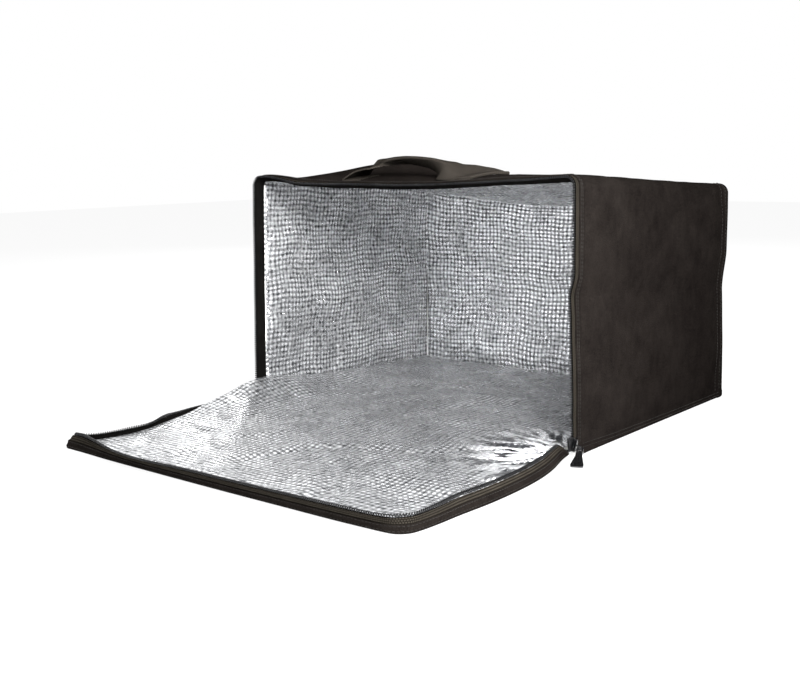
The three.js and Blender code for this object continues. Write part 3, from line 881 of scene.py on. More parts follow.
@dataclass(frozen=True)
class Finish:
    """What every finish has: its name, its colours and its gloss."""

    name: str
    dark: tuple[float, float, float]
    light: tuple[float, float, float]
    rough: float = 0.6

    def start(self) -> tuple[bpy.types.Material, Paint, bpy.types.Node]:
        """A new material, a painter for it and its shader.

        Returns:
            The three of them.
        """
        material = bpy.data.materials.new(self.name)
        material.use_nodes = True
        tree = material.node_tree
        tree.nodes.clear()
        paint = Paint(tree)
        shader = paint.node("BsdfPrincipled", {"Roughness": self.rough})
        out = paint.node("OutputMaterial", {"Surface": shader.outputs[0]})
        out.is_active_output = True
        return material, paint, shader

    @staticmethod
    def bump(paint: Paint, shader: bpy.types.Node, height: object, depth: float) -> None:
        """Lets a height raise the surface by up to a depth in metres.

        Args:
            paint: Painter of the material.
            shader: Its shader.
            height: Socket of the height, 0 to 1.
            depth: Depth of a height of 1.
        """
        node = paint.node("Bump", {"Height": height, "Distance": depth, "Strength": 1.0})
        paint.tree.links.new(node.outputs[0], shader.inputs["Normal"])


@dataclass(frozen=True)
class PressedCloth(Finish):
    """Coated, heat-pressed cloth of the outside and the bands, with painted shade that darkens it towards the
    back and the bottom.
    """

    grain: float = 900.0
    depth: float = 0.00022
    streak_share: float = 0.6
    grain_share: float = 1.8
    tone_scale: float = 0.294
    # Where the painted shade sets in and how strong it is: it darkens the cloth towards the back and the
    # bottom.
    front_y: float = -0.18
    back_y: float = 0.2
    top_z: float = 0.28
    low_z: float = 0.02
    top_painted_shade: float = 0.35
    painted_light_share: float = 0.55
    lump_scale: float = 420.0
    lump_share: float = 0.8

    def make(self, effects: Effects) -> bpy.types.Material:
        """Builds the material."""
        material, paint, shader = self.start()
        shader.inputs["Specular IOR Level"].default_value = 0.0
        place = paint.node("TexCoord").outputs["Object"]
        clouds = paint.node("Group", node_tree=effects.clouds)
        paint.tree.links.new(place, clouds.inputs["Place"])
        clouds.inputs["Grain"].default_value = self.grain
        blotch, streak, grain = (clouds.outputs[k] for k in ("Blotch", "Streak", "Grain"))
        soft = paint.plus(blotch, paint.times(streak, self.streak_share))
        speckled = paint.plus(soft, paint.times(grain, self.grain_share))
        tone = paint.times(speckled, self.tone_scale)
        parts = paint.node("SeparateXYZ", {0: place})
        # Painted shade: the tone darkens towards the back and the bottom, where less light falls.
        behind = paint.remap(parts.outputs[1], self.front_y, self.back_y, 0.0, 1.0)
        below = paint.remap(parts.outputs[2], self.top_z, self.low_z, self.top_painted_shade, 1.0)
        painted_shade = paint.times(paint.times(behind, below), self.painted_light_share)
        tone = paint.times(tone, paint.minus(1.0, painted_shade))
        mixed = paint.mix(tone, colour(*self.dark), colour(*self.light))
        paint.tree.links.new(mixed, shader.inputs["Base Color"])
        gloss = paint.remap(tone, 0.2, 0.8, self.rough + 0.1, self.rough - 0.08)
        paint.tree.links.new(gloss, shader.inputs["Roughness"])
        lumps = paint.times(paint.noise(place, self.lump_scale, 2), self.lump_share)
        self.bump(paint, shader, paint.plus(grain, lumps), self.depth)
        return material


@dataclass(frozen=True)
class WovenBand(Finish):
    """Ribbed weave that follows the piece's own map: zip tape and webbing."""

    along: float = 700.0
    across: float = 900.0
    slant: float = 0.5
    depth: float = 0.0003

    def make(self, effects: Effects) -> bpy.types.Material:
        """Builds the material."""
        material, paint, shader = self.start()
        shader.inputs["Specular IOR Level"].default_value = 0.0
        coords = paint.node("TexCoord")
        weave = paint.node("Group", node_tree=effects.weave)
        paint.tree.links.new(coords.outputs["UV"], weave.inputs["Map"])
        for key, value in (("Along", self.along), ("Across", self.across), ("Slant", self.slant)):
            weave.inputs[key].default_value = value
        height = weave.outputs["Height"]
        wear = paint.remap(paint.noise(coords.outputs["Object"], 60, 4), 0.35, 0.7, 0.75, 1.0)
        tone = paint.times(height, wear)
        mixed = paint.mix(tone, colour(*self.dark), colour(*self.light))
        paint.tree.links.new(mixed, shader.inputs["Base Color"])
        fuzz = paint.times(paint.noise(coords.outputs["Object"], 2500, 2), 0.35)
        self.bump(paint, shader, paint.plus(height, fuzz), self.depth)
        return material


@dataclass(frozen=True)
class EmbossedFoil(Finish):
    """Metal film pressed into small cushions, crinkled finely all over. Its colour carries painted highlights
    on the cushions, painted shade in their pits, painted light and shade along the folds by the slider, and
    painted light and shade over the bag.
    """

    pitch: float = 0.0068
    depth: float = 0.0005
    metallic: float = 0.8
    crinkle_scale: float = 520.0
    large_scale: float = 90.0
    cushion_rise: float = 0.8
    crinkle_rise: float = 0.7
    large_rise: float = 1.4
    fold_rise: float = 3.0
    base_light: float = 0.19
    # centre: painted highlight at each cushion's centre; pit: painted shade in the pits between the cushions.
    centre_highlight: float = 0.12
    crinkle_light: float = 0.34
    pit_shade: float = 0.24
    # glint: painted highlights on the cushions.
    glint_light: float = 0.85
    glint_break: float = 0.9
    grit: float = 0.17
    # fold: painted light and shade along the folds by the slider.
    fold_painted_light: float = 0.95
    bunched_x: float = 0.252
    bunched_y: float = -0.198
    bunched_near: float = 0.075
    bunched_far: float = 0.14
    rays_around: float = 9.0
    rays_outwards: float = 24.0

    def make(self, effects: Effects) -> bpy.types.Material:
        """Builds the material."""
        material, paint, shader = self.start()
        coords = paint.node("TexCoord")
        place = coords.outputs["Object"]
        parts = paint.node("SeparateXYZ", {0: coords.outputs["UV"]})
        rise, cross = [], []
        for socket in (parts.outputs[0], parts.outputs[1]):
            phase = paint.times(socket, math.pi / self.pitch)
            rise.append(paint.math("ABSOLUTE", paint.math("SINE", phase)))
            cross.append(paint.math("ABSOLUTE", paint.math("COSINE", phase)))
        cushion = paint.math("POWER", paint.times(rise[0], rise[1]), 0.5)
        centre = paint.times(rise[0], rise[1])
        pit_shade_mask = paint.math("POWER", paint.times(cross[0], cross[1]), 2.2)
        crinkle = paint.noise(place, self.crinkle_scale, 4, 0.6)
        large = paint.noise(place, self.large_scale, 3, 0.55)
        crumpled, folds = self._crumpled(paint, place)
        height = paint.times(cushion, self.cushion_rise)
        for layer, rise in (
            (crinkle, self.crinkle_rise),
            (large, self.large_rise),
            (paint.times(folds, crumpled), self.fold_rise),
        ):
            height = paint.plus(height, paint.times(layer, rise))
        self.bump(paint, shader, height, self.depth)
        # Painted highlight: a glint near each cushion's centre, broken up by the crinkles and weaker in
        # patches.
        painted_light_share = paint.remap(paint.noise(place, 16, 2), 0.36, 0.62, 0.25, 1.0)
        each = paint.remap(paint.noise(place, 130, 1), 0.35, 0.65, 0.45, 1.0)
        broken = paint.times(paint.minus(crinkle, 0.5), self.glint_break)
        glint = paint.remap(paint.plus(centre, broken), 0.48, 0.78, 0.0, 1.0)
        glint = paint.times(paint.times(glint, each), painted_light_share)
        # Painted highlight at each cushion's centre and painted shade in the pits between them.
        lit = paint.times(centre, self.centre_highlight)
        base = paint.plus(lit, paint.times(crinkle, self.crinkle_light))
        base = paint.plus(base, self.base_light)
        base = paint.minus(base, paint.times(pit_shade_mask, self.pit_shade))
        bright = paint.plus(base, paint.times(glint, self.glint_light))
        grit = paint.remap(paint.noise(place, 210, 2), 0.36, 0.64, -self.grit, self.grit)
        # Painted light and shade over the bag.
        bright = paint.times(paint.plus(bright, grit), self._painted_light_level(paint, place))
        tone = paint.remap(bright, 0.0, 1.0, 0.0, 1.0)
        # Painted light and shade along the folds by the slider, where the film is bunched up.
        share = paint.times(crumpled, self.fold_painted_light)
        tone = paint.plus(tone, paint.times(paint.minus(folds, tone), share))
        mixed = paint.mix(tone, colour(*self.dark), colour(*self.light))
        paint.tree.links.new(mixed, shader.inputs["Base Color"])
        gloss = paint.remap(paint.noise(place, 40, 3), 0.3, 0.7, self.rough - 0.05, self.rough + 0.08)
        paint.tree.links.new(gloss, shader.inputs["Roughness"])
        shader.inputs["Metallic"].default_value = self.metallic
        return material

    @staticmethod
    def _painted_light_level(paint: Paint, place: bpy.types.NodeSocket) -> bpy.types.NodeSocket:
        """Painted light and shade over the bag: duller low down and to the right, brighter out on the flap.
        """
        parts = paint.node("SeparateXYZ", {0: place})
        high = paint.remap(parts.outputs[2], 0.0, 0.26, 0.76, 1.16)
        right = paint.remap(parts.outputs[0], -0.1, 0.25, 0.0, 0.18)
        out = paint.remap(parts.outputs[1], -0.2, -0.45, 0.0, 0.22)
        return paint.plus(paint.minus(high, right), out)

    def _crumpled(self, paint: Paint, place: bpy.types.NodeSocket) -> tuple:
        """Folds that run out from the hinge's right end, where the flap's corner is bunched up.

        Args:
            paint: The material's nodes.
            place: Object coordinates.

        Returns:
            Share of crumpling, 1 about that end, and the folds from 0 to 1.
        """
        parts = paint.node("SeparateXYZ", {0: place})
        aside = paint.minus(parts.outputs[0], self.bunched_x)
        along = paint.minus(parts.outputs[1], self.bunched_y)
        angle = paint.math("ARCTAN2", along, aside)
        flat = paint.node("CombineXYZ", {0: aside, 1: along})
        reach = paint.node("VectorMath", {0: flat.outputs[0]}, operation="LENGTH").outputs["Value"]
        around = paint.times(angle, self.rays_around)
        outwards = paint.times(reach, self.rays_outwards)
        spread = paint.node("CombineXYZ", {0: around, 1: outwards})
        rays = paint.noise(spread.outputs[0], 1.0, 5, 0.6)
        share = paint.remap(reach, self.bunched_near, self.bunched_far, 1.0, 0.0)
        return share, paint.remap(rays, 0.45, 0.55, 0, 1)


@dataclass(frozen=True)
class PlainSolid(Finish):
    """Moulded or cast stuff with faint blotches and grain: coil, foam, metal and thread."""

    metallic: float = 0.0
    grain_scale: float = 1500.0
    depth: float = 0.00005
    coat: float = 0.0
    mirror: float = 0.5

    def make(self, effects: Effects) -> bpy.types.Material:
        """Builds the material."""
        material, paint, shader = self.start()
        place = paint.node("TexCoord").outputs["Object"]
        grain = paint.noise(place, self.grain_scale, 3)
        tone = paint.remap(paint.plus(grain, paint.noise(place, 70, 3)), 0.7, 1.3, 0, 1)
        mixed = paint.mix(tone, colour(*self.dark), colour(*self.light))
        paint.tree.links.new(mixed, shader.inputs["Base Color"])
        gloss = paint.remap(grain, 0.3, 0.7, self.rough - 0.04, self.rough + 0.06)
        paint.tree.links.new(gloss, shader.inputs["Roughness"])
        self.bump(paint, shader, grain, self.depth)
        shader.inputs["Metallic"].default_value = self.metallic
        shader.inputs["Coat Weight"].default_value = self.coat
        shader.inputs["Specular IOR Level"].default_value = self.mirror
        return material


class Finishes:
    """All the bag's materials."""

    def __init__(self) -> None:
        """Builds each material once."""
        effects = Effects()
        self.outer = PressedCloth("outer cloth", (4, 3, 3), (28, 25, 23), 0.7).make(effects)
        self.band = PressedCloth("band cloth", (3, 3, 3), (16, 15, 14), 0.7).make(effects)
        self.tape = WovenBand("zip tape", (4, 4, 3), (52, 48, 43), 0.75, 560.0, 420.0, 0.5).make(effects)
        self.webbing = WovenBand("webbing", (12, 11, 9), (54, 50, 46), 0.8, 420.0, 620.0, 0.5).make(effects)
        self.foil = EmbossedFoil("embossed foil", (38, 40, 44), (252, 253, 255), 0.25).make(effects)
        self.coil = PlainSolid("zip coil", (4, 4, 5), (20, 20, 21), 0.42, mirror=0.12).make(effects)
        self.foam = PlainSolid("foam", (222, 222, 219), (240, 240, 238), 0.9, depth=0.0003).make(effects)
        self.metal = PlainSolid("black metal", (8, 8, 9), (24, 24, 26), 0.22, 0.6, coat=0.5).make(effects)
        thread = PlainSolid("thread", (8, 7, 6), (30, 28, 26), 0.7, grain_scale=3000.0, mirror=0.1)
        self.thread = thread.make(effects)


@dataclass(frozen=True)
class Stitching:
    """Rows of short stitches of thread along lines on the cloth."""

    maker: MeshMaker
    pitch: float = 4.2
    length: float = 3.0
    thickness: float = 0.7

    def row(self, line: Array, normals: Array) -> None:
        """Adds stitches along a line.

        Each is a tube whose rings are thin at both ends, half sunk into the cloth.

        Args:
            line: Points of the line.
            normals: Outward normal at each of them.
        """
        along = run_length(line)
        count = max(1, int((along[-1] - self.length) / self.pitch))
        centres = (np.arange(count) + 0.5) * self.pitch
        reach = np.array([-0.5, -0.3, 0.3, 0.5]) * self.length
        at = centres[:, None] + reach
        middle = np.stack([np.interp(at, along, line[:, k]) for k in range(3)], axis=-1)
        normal = unit(np.stack([np.interp(at, along, normals[:, k]) for k in range(3)], axis=-1))
        direction = unit(np.gradient(middle, axis=1))
        across = np.cross(direction, normal)
        arch = np.array([-0.35, 0.12, 0.12, -0.35])[:, None] * self.thickness
        radius = np.array([0.25, 0.5, 0.5, 0.25])[:, None, None] * self.thickness
        turn = np.linspace(0, 2 * np.pi, 6, endpoint=False)
        ring = np.cos(turn)[:, None] * across[..., None, :] + np.sin(turn)[:, None] * normal[..., None, :]
        self.maker.add_beads((middle + normal * arch)[..., None, :] + ring * radius)


COIL_WIDTH = 4.4
COIL_THICKNESS = 2.8
COIL_PITCH = 2.7
COIL_WIRE = 1.15


def coil_wire(maker: MeshMaker, line: Array, up: Array, across: Array) -> None:
    """Adds a zip coil: one wire wound as a flat helix round a line.

    The wire's centre is line(s) + across * a * cos(turn) + up * b * sin(turn), with s = pitch * turn / 2 pi.

    Args:
        maker: Where it goes.
        line: Points of the line.
        up: Direction of the thickness at each point.
        across: Direction of the width at each point.
    """
    along = run_length(line)
    per_turn = 8
    turns = int(along[-1] / COIL_PITCH)
    step = np.arange(turns * per_turn + 1) / per_turn
    at = step * COIL_PITCH

    def read(values: Array) -> Array:
        """Values of the line's points at each step along the wire."""
        return np.stack([np.interp(at, along, values[:, k]) for k in range(3)], axis=-1)

    turn = 2 * np.pi * step[:, None]
    b, a = (COIL_THICKNESS - COIL_WIRE) / 2, (COIL_WIDTH - COIL_WIRE) / 2
    centre = read(line) + unit(read(across)) * a * np.cos(turn) + unit(read(up)) * b * np.sin(turn)
    axis = unit(np.gradient(read(line), axis=0))
    direction = unit(np.gradient(centre, axis=0))
    one = unit(np.cross(direction, axis))
    two = np.cross(direction, one)
    angle = np.linspace(0, 2 * np.pi, 5, endpoint=False)[:, None]
    ring = np.cos(angle) * one[:, None] + np.sin(angle) * two[:, None]
    maker.add_tube(centre[:, None] + ring * COIL_WIRE / 2)


@dataclass(frozen=True)
class OuterSkin:
    """The outer cloth: a wrap of both sides, top and bottom, a back panel, and the flap's skin."""

    form: BagForm
    finishes: Finishes
    front_y: float = -167.5
    rear_turn: float = 5.0
    thickness: float = 1.2

    def _rows(self) -> Array:
        """Depths of the wrap's rows, close together at both hems."""
        near = np.arange(self.front_y, -148, 1.5)
        middle = np.linspace(-148, 178, 56, endpoint=False)
        far = np.arange(178, self.form.back_y - self.rear_turn, 1.5)
        return np.concatenate([near, middle, far])

    def _hem(self, y: Array) -> Array:
        """How far the folded hems stand proud of the wall: at the zip and at the rear seam."""
        return 1.35 * ease((-156.5 - y) / 2.5) + 0.7 * ease((y - 185.5) / 1.5)

    def _pucker(self, y: Array, z: Array) -> Array:
        """Small gathers that run away from the two stitched hems."""
        wave = np.sin(z * 0.72 + 2 * np.sin(z * 0.11)) * (0.6 + 0.4 * np.sin(z * 0.053 + 1))
        return 0.45 * wave * (bell(y + 154, 7) + bell(y - 179, 8))

    def wrap(self) -> bpy.types.Object:
        """Lofted tube of cloth through the sections, whose rear edge turns inwards.

        Returns:
            The piece.
        """
        y = self._rows()
        turn = np.linspace(0, np.pi / 2, 7)
        y = np.concatenate([y, self.form.back_y - self.rear_turn + self.rear_turn * np.sin(turn)])
        tuck = np.concatenate([np.zeros(len(y) - 7), self.rear_turn * (1 - np.cos(turn))])
        outer = self.form.section(y, tuck - self._hem(y), closed=True)
        inner_y = np.where(tuck > 0, y - self.thickness * np.clip(tuck / self.rear_turn, 0, 1), y)
        inner = self.form.section(inner_y, tuck - self._hem(y) + self.thickness, closed=True)
        line = self.form.outline(True)
        side = (np.abs(line["nx"]) > 0.5)[None, :]
        for grid in (outer, inner):
            low_hem = 0.6 * (1 - ease((grid[..., 2] - 10) / 1.5)) * (grid[..., 2] > 0.1)
            push = np.where(side, self._pucker(grid[..., 1], grid[..., 2]) + low_hem, 0)
            grid[..., 0] += np.sign(grid[..., 0]) * push
            grid[..., 2] = np.maximum(grid[..., 2], 0.0)
        maker = MeshMaker("outer_wrap")
        maker.add_shell(outer, inner, wrap=True)
        made = maker.build(self.finishes.outer)
        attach(made, "body")
        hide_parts("outer_left", "outer_right", "outer_top", "outer_bottom")
        return made

    def back(self) -> bpy.types.Object:
        """Back panel, sewn in between the wrap's turned edges.

        Returns:
            The piece.
        """
        form = self.form
        z = np.linspace(2.5, form.edge_height(form.back_y) - 3.2, 60)
        share = np.linspace(-1, 1, 90)
        radius = form.corner - 3
        over = np.clip(z - (z[-1] - radius), 0, radius)
        half = form.half - 3.2 - radius + np.sqrt(np.maximum(radius**2 - over**2, 0))
        x = share[None, :] * half[:, None]
        height = z[:, None] + 0 * x
        edge = np.minimum(form.half - 3.2 - np.abs(x), np.minimum(height, z[-1] - height))
        flat = ease(edge / 9)
        outer = form.wall(Wall.BACK, x, height, 1.1 - 1.4 * flat)
        outer[..., 1] = form.back_y + (outer[..., 1] - form.back_y) * np.maximum(flat, 0.35)
        side = np.sign(x)
        outer[..., 0] += side * form.side_shift(side, form.back_y, height) * (np.abs(x) / form.half) ** 12
        inner = outer - np.array([0, self.thickness, 0])
        maker = MeshMaker("outer_back_panel")
        maker.add_shell(inner, outer)
        made = maker.build(self.finishes.outer)
        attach(made, "body")
        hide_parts("outer_back")
        return made

    def flap(self) -> bpy.types.Object:
        """Skin under the flap, which runs on under the zip to the body's bottom.

        Returns:
            The piece.
        """
        form = self.form
        y = np.concatenate([np.linspace(-166, -214, 33), np.linspace(-214, -480, 54)[1:]])
        y = np.concatenate([y, np.linspace(-480, form.hinge_y - form.flap_length + 3, 8)[1:]])
        share = np.linspace(-1, 1, 90)
        x = share[None, :] * flap_half(form, y, 3.0)[:, None]
        low = form.ground(x, y[:, None], 0.0)
        high = form.ground(x, y[:, None], self.thickness)
        maker = MeshMaker("flap_skin")
        maker.add_shell(low, high)
        made = maker.build(self.finishes.outer)
        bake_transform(made)
        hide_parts("outer_flap")
        return made


def flap_half(form: BagForm, y: Array, inset: float) -> Array:
    """Half the flat cut's width at a depth, less where the front corners are rounded.

    Args:
        form: The bag.
        y: Depths.
        inset: Distance inside the edge.

    Returns:
        Half widths.
    """
    radius = form.corner - inset
    past = np.clip(form.hinge_y - form.flap_length + form.corner - y, 0, radius)
    rounded = form.half - form.corner + np.sqrt(np.maximum(radius**2 - past**2, 0))
    tongue = form.half - inset - 2.5 * ease((y - form.hinge_y + 12) / 12)
    return np.minimum(rounded, tongue)


@dataclass(frozen=True)
class Padding:
    """Sheets of foam inside the walls and the flap."""

    form: BagForm
    finishes: Finishes

    def make(self) -> None:
        """Builds all six."""
        form = self.form
        high = form.edge_height(form.back_y) - form.corner
        side = (np.linspace(-165, 198, 70), np.linspace(7, form.height - form.corner, 50))
        across = np.linspace(-240, 240, 80)
        self._piece("padding_left", "foam_left", Wall.LEFT, *side)
        self._piece("padding_right", "foam_right", Wall.RIGHT, *side)
        self._piece("padding_back", "foam_back", Wall.BACK, across, np.linspace(7, high + 4, 50))
        self._piece("padding_top", "foam_top", Wall.TOP, across, np.linspace(-165, 193, 70))
        self._piece("padding_bottom", "foam_bottom", Wall.BOTTOM, across, np.linspace(-192, 198, 70))
        self._piece("padding_flap", "foam_flap", Wall.BOTTOM, across, np.linspace(-486, -201, 60), "flap")

    def _piece(self, name: str, node: str, wall: Wall, a: Array, b: Array, body: str = "body") -> None:
        """One sheet of foam.

        Args:
            name: Its name.
            node: The node that it stands for.
            wall: Its wall.
            a: Places along the first wall coordinate.
            b: Places along the second.
            body: The body it rides on.
        """
        form = self.form
        p, q = np.meshgrid(a, b)
        if name == "padding_flap":
            p = p / 240 * flap_half(form, q, 4.0)
        outer = form.wall(wall, p, q, form.foam_outside)
        inner = form.wall(wall, p, q, form.foam_inside)
        maker = MeshMaker(name)
        maker.add_shell(outer, inner)
        made = maker.build(self.finishes.foam)
        if signed_volume(made) < 0:
            made.data.flip_normals()
        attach(made, body)
        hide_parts(node)


def signed_volume(made: bpy.types.Object) -> float:
    """Volume of a closed mesh, below zero where its faces look inwards."""
    mesh = made.data
    mesh.calc_loop_triangles()
    points = np.zeros(len(mesh.vertices) * 3, np.float32)
    corners = np.zeros(len(mesh.loop_triangles) * 3, np.int32)
    mesh.vertices.foreach_get("co", points)
    mesh.loop_triangles.foreach_get("vertices", corners)
    a, b, c = points.reshape(-1, 3)[corners.reshape(-1, 3)].transpose(1, 0, 2).astype(float)
    return float((a * np.cross(b, c)).sum() / 6)


@dataclass(frozen=True)
class Creases:
    """Sharp folds of the film that run out from a point, each a ridge exp(-distance / width)."""

    x: float
    y: float
    count: int
    low_angle: float
    high_angle: float
    near: float
    far: float
    height: float
    width: float
    seed: int

    def at(self, x: Array, y: Array) -> Array:
        """Height of all the folds together.

        Args:
            x: First wall coordinate.
            y: Second wall coordinate.

        Returns:
            Heights.
        """
        dice = np.random.default_rng(self.seed)
        total = np.zeros(np.broadcast(x, y).shape)
        for _ in range(self.count):
            angle = math.radians(dice.uniform(self.low_angle, self.high_angle))
            start = dice.uniform(0.1, 0.5) * self.near
            end = dice.uniform(self.near, self.far)
            rise = self.height * dice.uniform(0.4, 1.0) * dice.choice([-0.6, 1.0])
            wave = dice.uniform(0.02, 0.05)
            along = (x - self.x) * math.cos(angle) + (y - self.y) * math.sin(angle)
            aside = -(x - self.x) * math.sin(angle) + (y - self.y) * math.cos(angle)
            aside = aside + 2.5 * np.sin(along * wave + dice.uniform(0, 6))
            window = between(along, start, 12, end * 0.5, end * 0.5)
            total = total + rise * window * np.exp(-np.abs(aside) / self.width)
        return total


@dataclass(frozen=True)
class Lining:
    """Embossed film inside the walls and over floor and flap."""

    form: BagForm
    finishes: Finishes
    loose: dict[str, Swell]
    pitch: float = 6.8
    cushion: float = 0.85
    samples: int = 4

    def make(self) -> None:
        """Builds all six sheets."""
        form = self.form
        back = form.back_y - form.lining_outside
        side = form.half - form.lining_outside
        roof = form.edge_height(form.back_y) - form.lining_outside
        self._piece("film_left", ["lining_left"], Wall.LEFT, (-166.5, back), (6.5, form.height - 6))
        self._piece("film_right", ["lining_right"], Wall.RIGHT, (-166.5, back), (6.5, form.height - 6))
        self._piece("film_back", ["lining_back"], Wall.BACK, (-side, side), (6.5, roof))
        self._piece("film_top", ["lining_top"], Wall.TOP, (-side, side), (-166.5, back))
        self._piece("film_floor", ["lining_bottom"], Wall.BOTTOM, (-side, side), (-166.0, back))
        self._flap()

    def _line(self, low: float, high: float) -> Array:
        """Places of grid lines, a quarter of the pitch apart and in step with the pattern."""
        step = self.pitch / self.samples
        inside = np.arange(math.ceil(low / step + 0.2), math.floor(high / step - 0.2) + 1) * step
        return np.concatenate([[low], inside, [high]])

    def relief(self, a: Array, b: Array, edge: Array) -> Array:
        """Height of the cushions: the square root of |sin| times |sin|, faded out at the sheet's edges.

        Args:
            a: First wall coordinate.
            b: Second wall coordinate.
            edge: Distance from the sheet's edge.

        Returns:
            Heights.
        """
        u, v = self.waver(a, b)
        wave = np.abs(np.sin(np.pi * u / self.pitch) * np.sin(np.pi * v / self.pitch))
        return self.cushion * wave**0.6 * ease(edge / 5)

    @staticmethod
    def waver(a: Array, b: Array) -> tuple[Array, Array]:
        """Lattice coordinates that wander from the wall's by sums of slow sines, so the rows waver."""
        u = a + 1.5 * np.sin(b / 29 + 0.7) + 0.9 * np.sin(b / 11 + a / 47) + 0.5 * np.sin(a / 13 + 2)
        v = b + 1.5 * np.sin(a / 33 + 1.9) + 0.9 * np.sin(a / 12 - b / 41) + 0.5 * np.sin(b / 9 + 1)
        return u, v

    def _bend(self, name: str, a: Array, b: Array, edge: Array) -> Array:
        """Loose folds of one sheet, only ever inwards, from the cloth simulation and sharp creases."""
        lift = self.loose[name].at(a, b)
        if name == "film_floor":
            lift = lift + Creases(236, -190, 18, 95, 178, 25, 110, 4.0, 1.8, 5).at(a, b)
        if name == "film_left":
            lift = lift + Creases(-165, 70, 9, -35, 40, 12, 60, 1.2, 1.8, 8).at(a, b)
        return np.maximum(lift, -0.2) * ease(edge / 14)

    def _piece(self, name: str, nodes: list[str], wall: Wall, a: tuple, b: tuple) -> None:
        """One sheet on a wall of the body.

        Args:
            name: Its name.
            nodes: Nodes that it stands for.
            wall: Its wall.
            a: Range of the first wall coordinate.
            b: Range of the second.
        """
        p, q = np.meshgrid(self._line(*a), self._line(*b))
        edge = np.minimum(np.minimum(p - a[0], a[1] - p), np.minimum(q - b[0], b[1] - q))
        if wall is Wall.BOTTOM:
            edge = np.minimum(np.minimum(p - a[0], a[1] - p), b[1] - q)
        inward = self.form.lining_outside + self.relief(p, q, edge) + self._bend(name, p, q, edge)
        depth = q if wall is Wall.TOP else p
        if wall in (Wall.LEFT, Wall.RIGHT, Wall.TOP):
            inward = inward - 1.2 * (1 - ease((depth + 166) / 20))
        grid = self.form.wall(wall, p, q, inward)
        maker = MeshMaker(name)
        maker.add_grid(grid, flip=wall in (Wall.RIGHT, Wall.TOP), uv=np.stack(self.waver(p, q), axis=-1) * MM)
        made = maker.build(self.finishes.foil, sharp=80)
        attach(made, "body")
        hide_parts(*nodes)

    def _flap(self) -> None:
        """The sheet over the flap, which runs on over the hinge to the floor's sheet."""
        form = self.form
        front = form.hinge_y - form.flap_length + 3.2
        rows = self._line(front, -166.0)
        columns = self._line(-form.half + 3.2, form.half - 3.2)
        p, q = np.meshgrid(columns, rows)
        half = flap_half(form, q, 3.2)
        half = half - 3.3 * ease((q + 200) / 30)
        p = p * half / (form.half - 3.2)
        edge = np.minimum(half - np.abs(p), q - front)
        lift = form.lining_outside + self.relief(p, q, edge) + self._flap_bend(p, q, edge)
        maker = MeshMaker("film_flap")
        maker.add_grid(form.ground(p, q, lift), uv=np.stack(self.waver(p, q), axis=-1) * MM)
        made = maker.build(self.finishes.foil, sharp=80)
        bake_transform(made)
        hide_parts("lining_flap")

    def _flap_bend(self, x: Array, y: Array, edge: Array) -> Array:
        """Loose folds of the flap's sheet and the sharp creases beside the slider."""
        lift = self.loose["film_flap"].at(x, y)
        fan = Creases(246, -196, 30, 178, 262, 30, 140, 5.0, 1.9, 3).at(x, y)
        fan = fan + Creases(246, -330, 16, 100, 190, 20, 90, 3.2, 1.8, 4).at(x, y)
        crumple = (fan + lift) * ease(edge / 10)
        return np.maximum(crumple, -0.3)


@dataclass(frozen=True)
class Opening:
    """Black band, zip tape and zip coil round the body's opening."""

    form: BagForm
    finishes: Finishes
    coil_y: float = -177.0
    foot_z: float = 1.8

    def make(self) -> None:
        """Builds the three."""
        self._band()
        self._tape()
        self._coil()

    def _trimmed(self, grid: Array) -> Array:
        """The section's points, none below the foot."""
        grid[..., 2] = np.maximum(grid[..., 2], self.foot_z)
        return grid

    def _map(self, grid: Array) -> Array:
        """Map coordinates in metres: distance along the opening and depth."""
        step = np.linalg.norm(np.diff(grid[:1], axis=1), axis=-1)
        along = np.concatenate([np.zeros((1, 1)), np.cumsum(step, axis=1)], axis=1)
        across = grid[..., 1] - grid[:1, :, 1]
        return np.stack(np.broadcast_arrays(along, across), axis=-1) * MM

    def _band(self) -> None:
        """Band that turns from the zip over the foam's edge onto the film."""
        y = np.array([-174.6, -173.6, -172.0, -170.4, -169.0, -167.6, -166.0, -164.2, -163.4])
        depth = np.array([1.1, 1.5, 2.6, 3.8, 4.8, 5.6, 6.1, 6.4, 6.3])
        outer = self._trimmed(self.form.section(y, depth))
        inner = self._trimmed(self.form.section(y + 0.1, depth + 0.9))
        maker = MeshMaker("opening_band")
        maker.add_shell(outer, inner, uv=self._map(outer))
        made = maker.build(self.finishes.band)
        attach(made, "body")
        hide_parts("front_band_left", "front_band_right", "front_band_top")

    def _tape(self) -> None:
        """Zip tape from the coil to under the outer cloth's hem."""
        y = np.linspace(-174.8, -160.6, 12)
        outer = self._trimmed(self.form.section(y, 0.0))
        inner = self._trimmed(self.form.section(y, 0.9))
        maker = MeshMaker("opening_tape")
        maker.add_shell(outer, inner, uv=self._map(outer))
        made = maker.build(self.finishes.tape)
        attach(made, "body")
        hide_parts("zip_tape_body")

    def _coil(self) -> None:
        """Coil along the tape's front edge."""
        line = self.form.section(np.array([self.coil_y]), np.array([1.6]))[0]
        up = self.form.section(np.array([self.coil_y]), np.array([0.6]))[0] - line
        keep = line[:, 2] > self.foot_z + 1
        line, up = line[keep], up[keep]
        maker = MeshMaker("opening_coil")
        coil_wire(maker, line, up, np.tile([0.0, 1.0, 0.0], (len(line), 1)))
        made = maker.build(self.finishes.coil)
        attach(made, "body")
        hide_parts("zip_coil_body")


